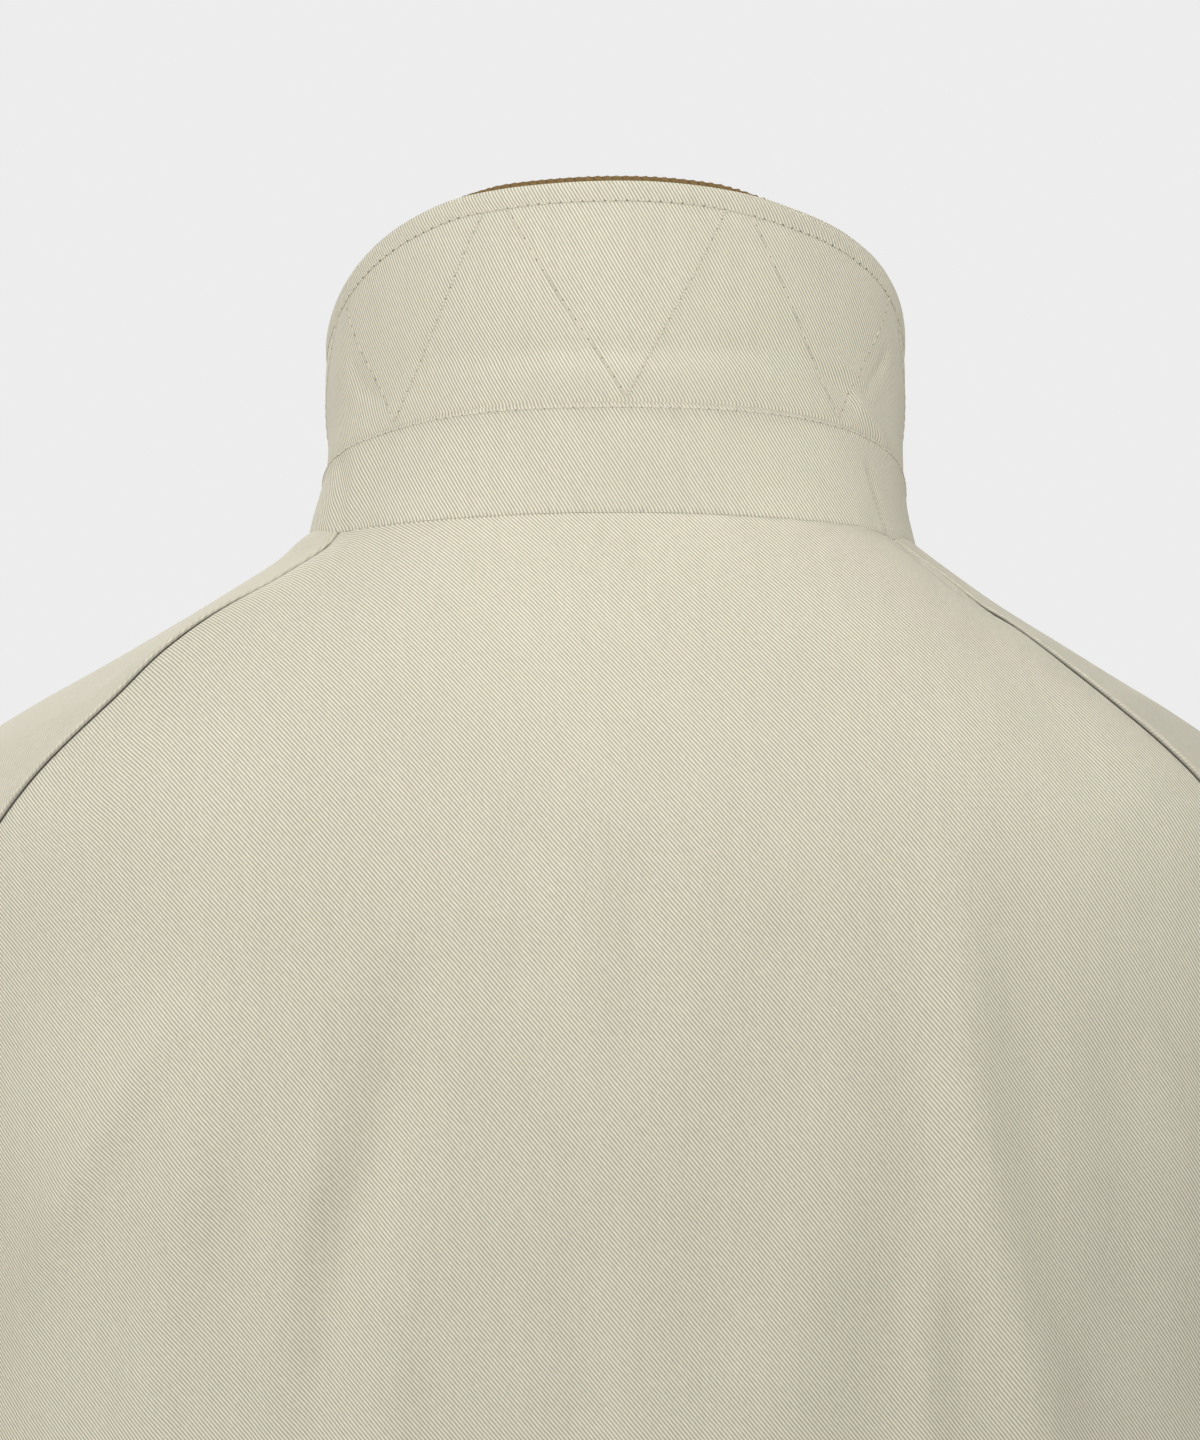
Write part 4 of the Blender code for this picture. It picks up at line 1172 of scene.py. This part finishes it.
class OBJECT_OT_jacket_stitching(bpy.types.Operator):
    """Sews the rows of lockstitch that the cloth pieces have noted, and works the buttonholes"""

    bl_idname = "object.jacket_stitching"
    bl_label = "Stitching"

    def execute(self, context):
        stitch = context.scene.jacket_stitch
        if not ROWS["rows"]:
            raise RuntimeError("The cloth pieces come before their stitching")
        grain, grain_faces = shape_template("grain", thread_grain)
        shade_cone, shade_cone_faces = shape_template("shade_cone", painted_shade_cone)
        chance = np.random.default_rng(5)
        threads, hole_shades = [], []
        for run, pitch, tree, hole in ROWS["rows"]:
            at = spaced(run, pitch)
            for a, b in zip(at[:-1], at[1:]):
                place, normal = tree.find_nearest(Vector((a + b) / 2))[:2]
                along = Vector(b - a) + normal.cross(Vector(b - a)) * chance.uniform(-0.05, 0.05)
                size = (along.length * 0.84, stitch.width * chance.uniform(0.9, 1.1), stitch.width * 0.85)
                threads.append((stamp(grain, place + normal * 0.00010, along, normal, size), grain_faces))
            # Painted shade: a small dark cone at each needle hole stands in for the shade inside the hole.
            for a, b in zip(at[1:-1], at[2:]):
                place, normal = tree.find_nearest(Vector(a))[:2]
                wide = 0.00078 * hole * chance.uniform(0.75, 1.15)
                hole_shades.append((stamp(shade_cone, place - normal * 0.00010, Vector(b - a), normal, (wide, wide, 0.0004)), shade_cone_faces))
        for a, b, wide, tree in ROWS["bars"]:
            normal = tree.find_nearest((a + b) / 2)[1]
            place = (a + b) / 2 + normal * 0.00008
            threads.append((stamp(grain, place, b - a, normal, ((b - a).length, wide, 0.0006)), grain_faces))
        # Painted shade: a long dark cone along each buttonhole's slit stands in for the shade inside the cut.
        for a, b, tree in ROWS["slits"]:
            normal = tree.find_nearest((a + b) / 2)[1]
            size = ((b - a).length, 0.0008, 0.0006)
            hole_shades.append((stamp(shade_cone, (a + b) / 2 - normal * 0.00010, b - a, normal, size), shade_cone_faces))
        gather("stitching", threads, core_spun_thread(stitch))
        gather("needle_hole_shades", hole_shades, needle_hole_shade(context.scene.jacket_twill))
        return {"FINISHED"}


class OBJECT_OT_jacket_buttons(bpy.types.Operator):
    """Turns the five front buttons, with four holes each, and sews them on"""

    bl_idname = "object.jacket_buttons"
    bl_label = "Buttons"

    def turn_button(self, button):
        """A dished disc with a round rim and four holes, at the origin, its face up."""
        select_only()
        bpy.ops.mesh.primitive_cylinder_add(
            vertices=48, radius=button.radius, depth=button.thick, end_fill_type="NGON", location=(0, 0, 0))
        disc = bpy.context.object
        bpy.ops.object.mode_set(mode="EDIT")
        bpy.ops.mesh.select_all(action="DESELECT")
        bpy.ops.object.mode_set(mode="OBJECT")
        for face in disc.data.polygons:
            face.select = face.normal.z > 0.9
        bpy.ops.object.mode_set(mode="EDIT")
        bpy.ops.mesh.inset(thickness=button.radius * 0.20)
        bpy.ops.mesh.inset(thickness=button.radius * 0.10)
        bpy.ops.transform.translate(value=(0, 0, -0.0008))
        bpy.ops.object.mode_set(mode="OBJECT")
        rounded = disc.modifiers.new("Rounded", "BEVEL")
        rounded.width = 0.0007
        rounded.segments = 3
        rounded.limit_method = "ANGLE"
        rounded.angle_limit = math.radians(20)
        apply_modifiers(disc)
        drills = []
        for n in range(4):
            turn = math.radians(45 + 90 * n)
            select_only()
            bpy.ops.mesh.primitive_cylinder_add(
                vertices=16, radius=button.hole, depth=0.02,
                location=(0.0024 * math.cos(turn), 0.0024 * math.sin(turn), 0))
            drills.append(bpy.context.object)
        for drill in drills:
            select_only(disc)
            hole = disc.modifiers.new("Hole", "BOOLEAN")
            hole.operation = "DIFFERENCE"
            hole.object = drill
            hole.solver = "EXACT"
            apply_modifiers(disc)
            bpy.data.objects.remove(drill)
        select_only(disc)
        bpy.ops.object.shade_smooth_by_angle(angle=math.radians(40))
        return disc

    def execute(self, context):
        button = context.scene.jacket_button
        horn = horn_polyester(button)
        thread = core_spun_thread(context.scene.jacket_stitch)
        disc = self.turn_button(button)
        grain, grain_faces = shape_template("grain", thread_grain)
        for n in range(1, 6):
            middle, axis = button_frame(f"button_{n}")
            side = Vector((0, 0, 1)).cross(axis).normalized()
            spin = Matrix.Rotation(math.radians(7 * (n % 3) - 6), 3, axis)
            side = spin @ side
            turned = Matrix((side, axis.cross(side), axis)).transposed().to_4x4()
            turned.translation = middle
            mesh = disc.data.copy()
            mesh.transform(turned)
            mesh.materials.clear()
            mesh.materials.append(horn)
            one = bpy.data.objects.new(f"button_{n}_horn", mesh)
            context.scene.collection.objects.link(one)
            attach(one, "root")
            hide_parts(f"button_{n}")
            bars = []
            for t in (-1, 1):
                for slip in (-0.00045, 0.0, 0.00045):
                    place = middle + axis * (button.thick / 2 - 0.0006) + axis.cross(side) * (0.0017 * t + slip)
                    size = (0.0052, 0.0006, 0.0010)
                    bars.append((stamp(grain, place, side, axis, size), grain_faces))
            gather(f"button_{n}_thread", bars, thread)
        bpy.data.objects.remove(disc)
        return {"FINISHED"}


class OBJECT_OT_jacket_stage(bpy.types.Operator):
    """Makes the floor, the soft light and the camera at the photograph's angle"""

    bl_idname = "object.jacket_stage"
    bl_label = "Floor, light and camera"

    def execute(self, context):
        stage = context.scene.jacket_stage
        select_only()
        bpy.ops.mesh.primitive_circle_add(vertices=96, radius=3.2, fill_type="NGON", location=(0, 0, 0))
        floor = context.object
        floor.name = "floor"
        bpy.ops.object.mode_set(mode="EDIT")
        bpy.ops.mesh.select_all(action="SELECT")
        bpy.ops.transform.translate(value=(0, 0, HEM - stage.floor_drop))
        bpy.ops.object.mode_set(mode="OBJECT")
        floor.data.materials.append(painted_floor(stage))

        context.scene.view_settings.view_transform = "Standard"
        world = bpy.data.worlds.new("studio")
        context.scene.world = world
        world.use_nodes = True
        tree = world.node_tree
        tree.nodes.clear()
        seen = add_node(tree, "ShaderNodeBackground", {"Color": (1, 1, 1, 1), "Strength": 0.847})
        lit = add_node(tree, "ShaderNodeBackground", {"Color": (1, 0.998, 0.99, 1), "Strength": 0.455})
        path = add_node(tree, "ShaderNodeLightPath")
        both = add_node(tree, "ShaderNodeMixShader", {
            0: path.outputs["Is Camera Ray"], 1: lit.outputs[0], 2: seen.outputs[0]})
        add_node(tree, "ShaderNodeOutputWorld", {"Surface": both.outputs[0]})

        target = Vector((0, 0.075, 0))
        a, e = stage.azimuth, stage.elevation
        back = Vector((math.sin(a) * math.cos(e), -math.cos(a) * math.cos(e), math.sin(e)))
        eye = target + back * stage.distance
        reach = stage.distance / stage.scale
        camera = bpy.data.cameras.new("camera")
        camera.lens = reach / 1440 * camera.sensor_width
        obj = bpy.data.objects.new("camera", camera)
        context.scene.collection.objects.link(obj)
        right = back.cross(Vector((0, 0, 1))).normalized() * -1
        up = back.cross(right).normalized()
        if up.z < 0:
            up = -up
        across, above = 627 - 600, 720 - 511.5
        forward = (-back * reach - right * across - up * above).normalized()
        obj.location = eye
        obj.rotation_mode = "QUATERNION"
        obj.rotation_quaternion = forward.to_track_quat("-Z", "Y")
        context.scene.camera = obj

        body, collar = Vector((0, 0, -0.2)), Vector((-0.06, 0.05, 0.06))
        for name, place, aim, size, spread, power, tint in (
            ("key", (0.10, 1.20, 0.50), body, 0.7, 180, 4.8, (1.0, 0.985, 0.96)),
            ("left", (1.25, 0.80, 0.70), body, 0.8, 180, 5.2, (1.0, 0.985, 0.96)),
            ("right", (-1.30, 0.90, 0.30), body, 0.8, 180, 0.3, (1.0, 0.985, 0.96)),
            ("collar", (-1.00, 1.00, 0.40), collar, 0.3, 30, 0.105, (1.0, 0.985, 0.96)),
            ("top", (0.6, 1.6, 2.6), body, 1.6, 180, 5.5, (0.98, 0.99, 1.0)),
            ("front", (0.8, -2.6, 1.6), body, 2.0, 180, 40, (1.0, 0.99, 0.97)),
        ):
            light = bpy.data.lights.new(name, "AREA")
            light.shape = "DISK"
            light.size = size
            light.spread = math.radians(spread)
            light.energy = power
            light.color = tint
            lamp = bpy.data.objects.new(name, light)
            lamp.location = place
            lamp.visible_camera = False
            lamp.rotation_mode = "QUATERNION"
            lamp.rotation_quaternion = (aim - Vector(place)).to_track_quat("-Z", "Y")
            context.scene.collection.objects.link(lamp)
        return {"FINISHED"}


OPERATORS = (
    OBJECT_OT_jacket_body,
    OBJECT_OT_jacket_sleeves,
    OBJECT_OT_jacket_collar,
    OBJECT_OT_jacket_upper_collar,
    OBJECT_OT_jacket_stitching,
    OBJECT_OT_jacket_buttons,
    OBJECT_OT_jacket_stage,
)


class VIEW3D_PT_jacket(bpy.types.Panel):
    """Lists the jacket's sizes, colours and steps"""

    bl_label = "Field jacket"
    bl_idname = "VIEW3D_PT_jacket"
    bl_space_type = "VIEW_3D"
    bl_region_type = "UI"
    bl_category = "Jacket"

    def draw(self, context):
        for name, group in SETTINGS.items():
            box = self.layout.box()
            box.label(text=group.__doc__)
            for field in group.__annotations__:
                box.prop(getattr(context.scene, name), field)
        for operator in OPERATORS:
            self.layout.operator(operator.bl_idname)


CLASSES = (*SETTINGS.values(), *OPERATORS, VIEW3D_PT_jacket)


def register():
    for cls in CLASSES:
        bpy.utils.register_class(cls)
    for name, group in SETTINGS.items():
        setattr(bpy.types.Scene, name, bpy.props.PointerProperty(type=group))


def unregister():
    for name in SETTINGS:
        delattr(bpy.types.Scene, name)
    for cls in reversed(CLASSES):
        bpy.utils.unregister_class(cls)


def main():
    register()
    bpy.ops.object.jacket_body()
    bpy.ops.object.jacket_sleeves()
    bpy.ops.object.jacket_collar()
    bpy.ops.object.jacket_upper_collar()
    bpy.ops.object.jacket_stitching()
    bpy.ops.object.jacket_buttons()
    bpy.ops.object.jacket_stage()


if __name__ == "__main__":
    main()
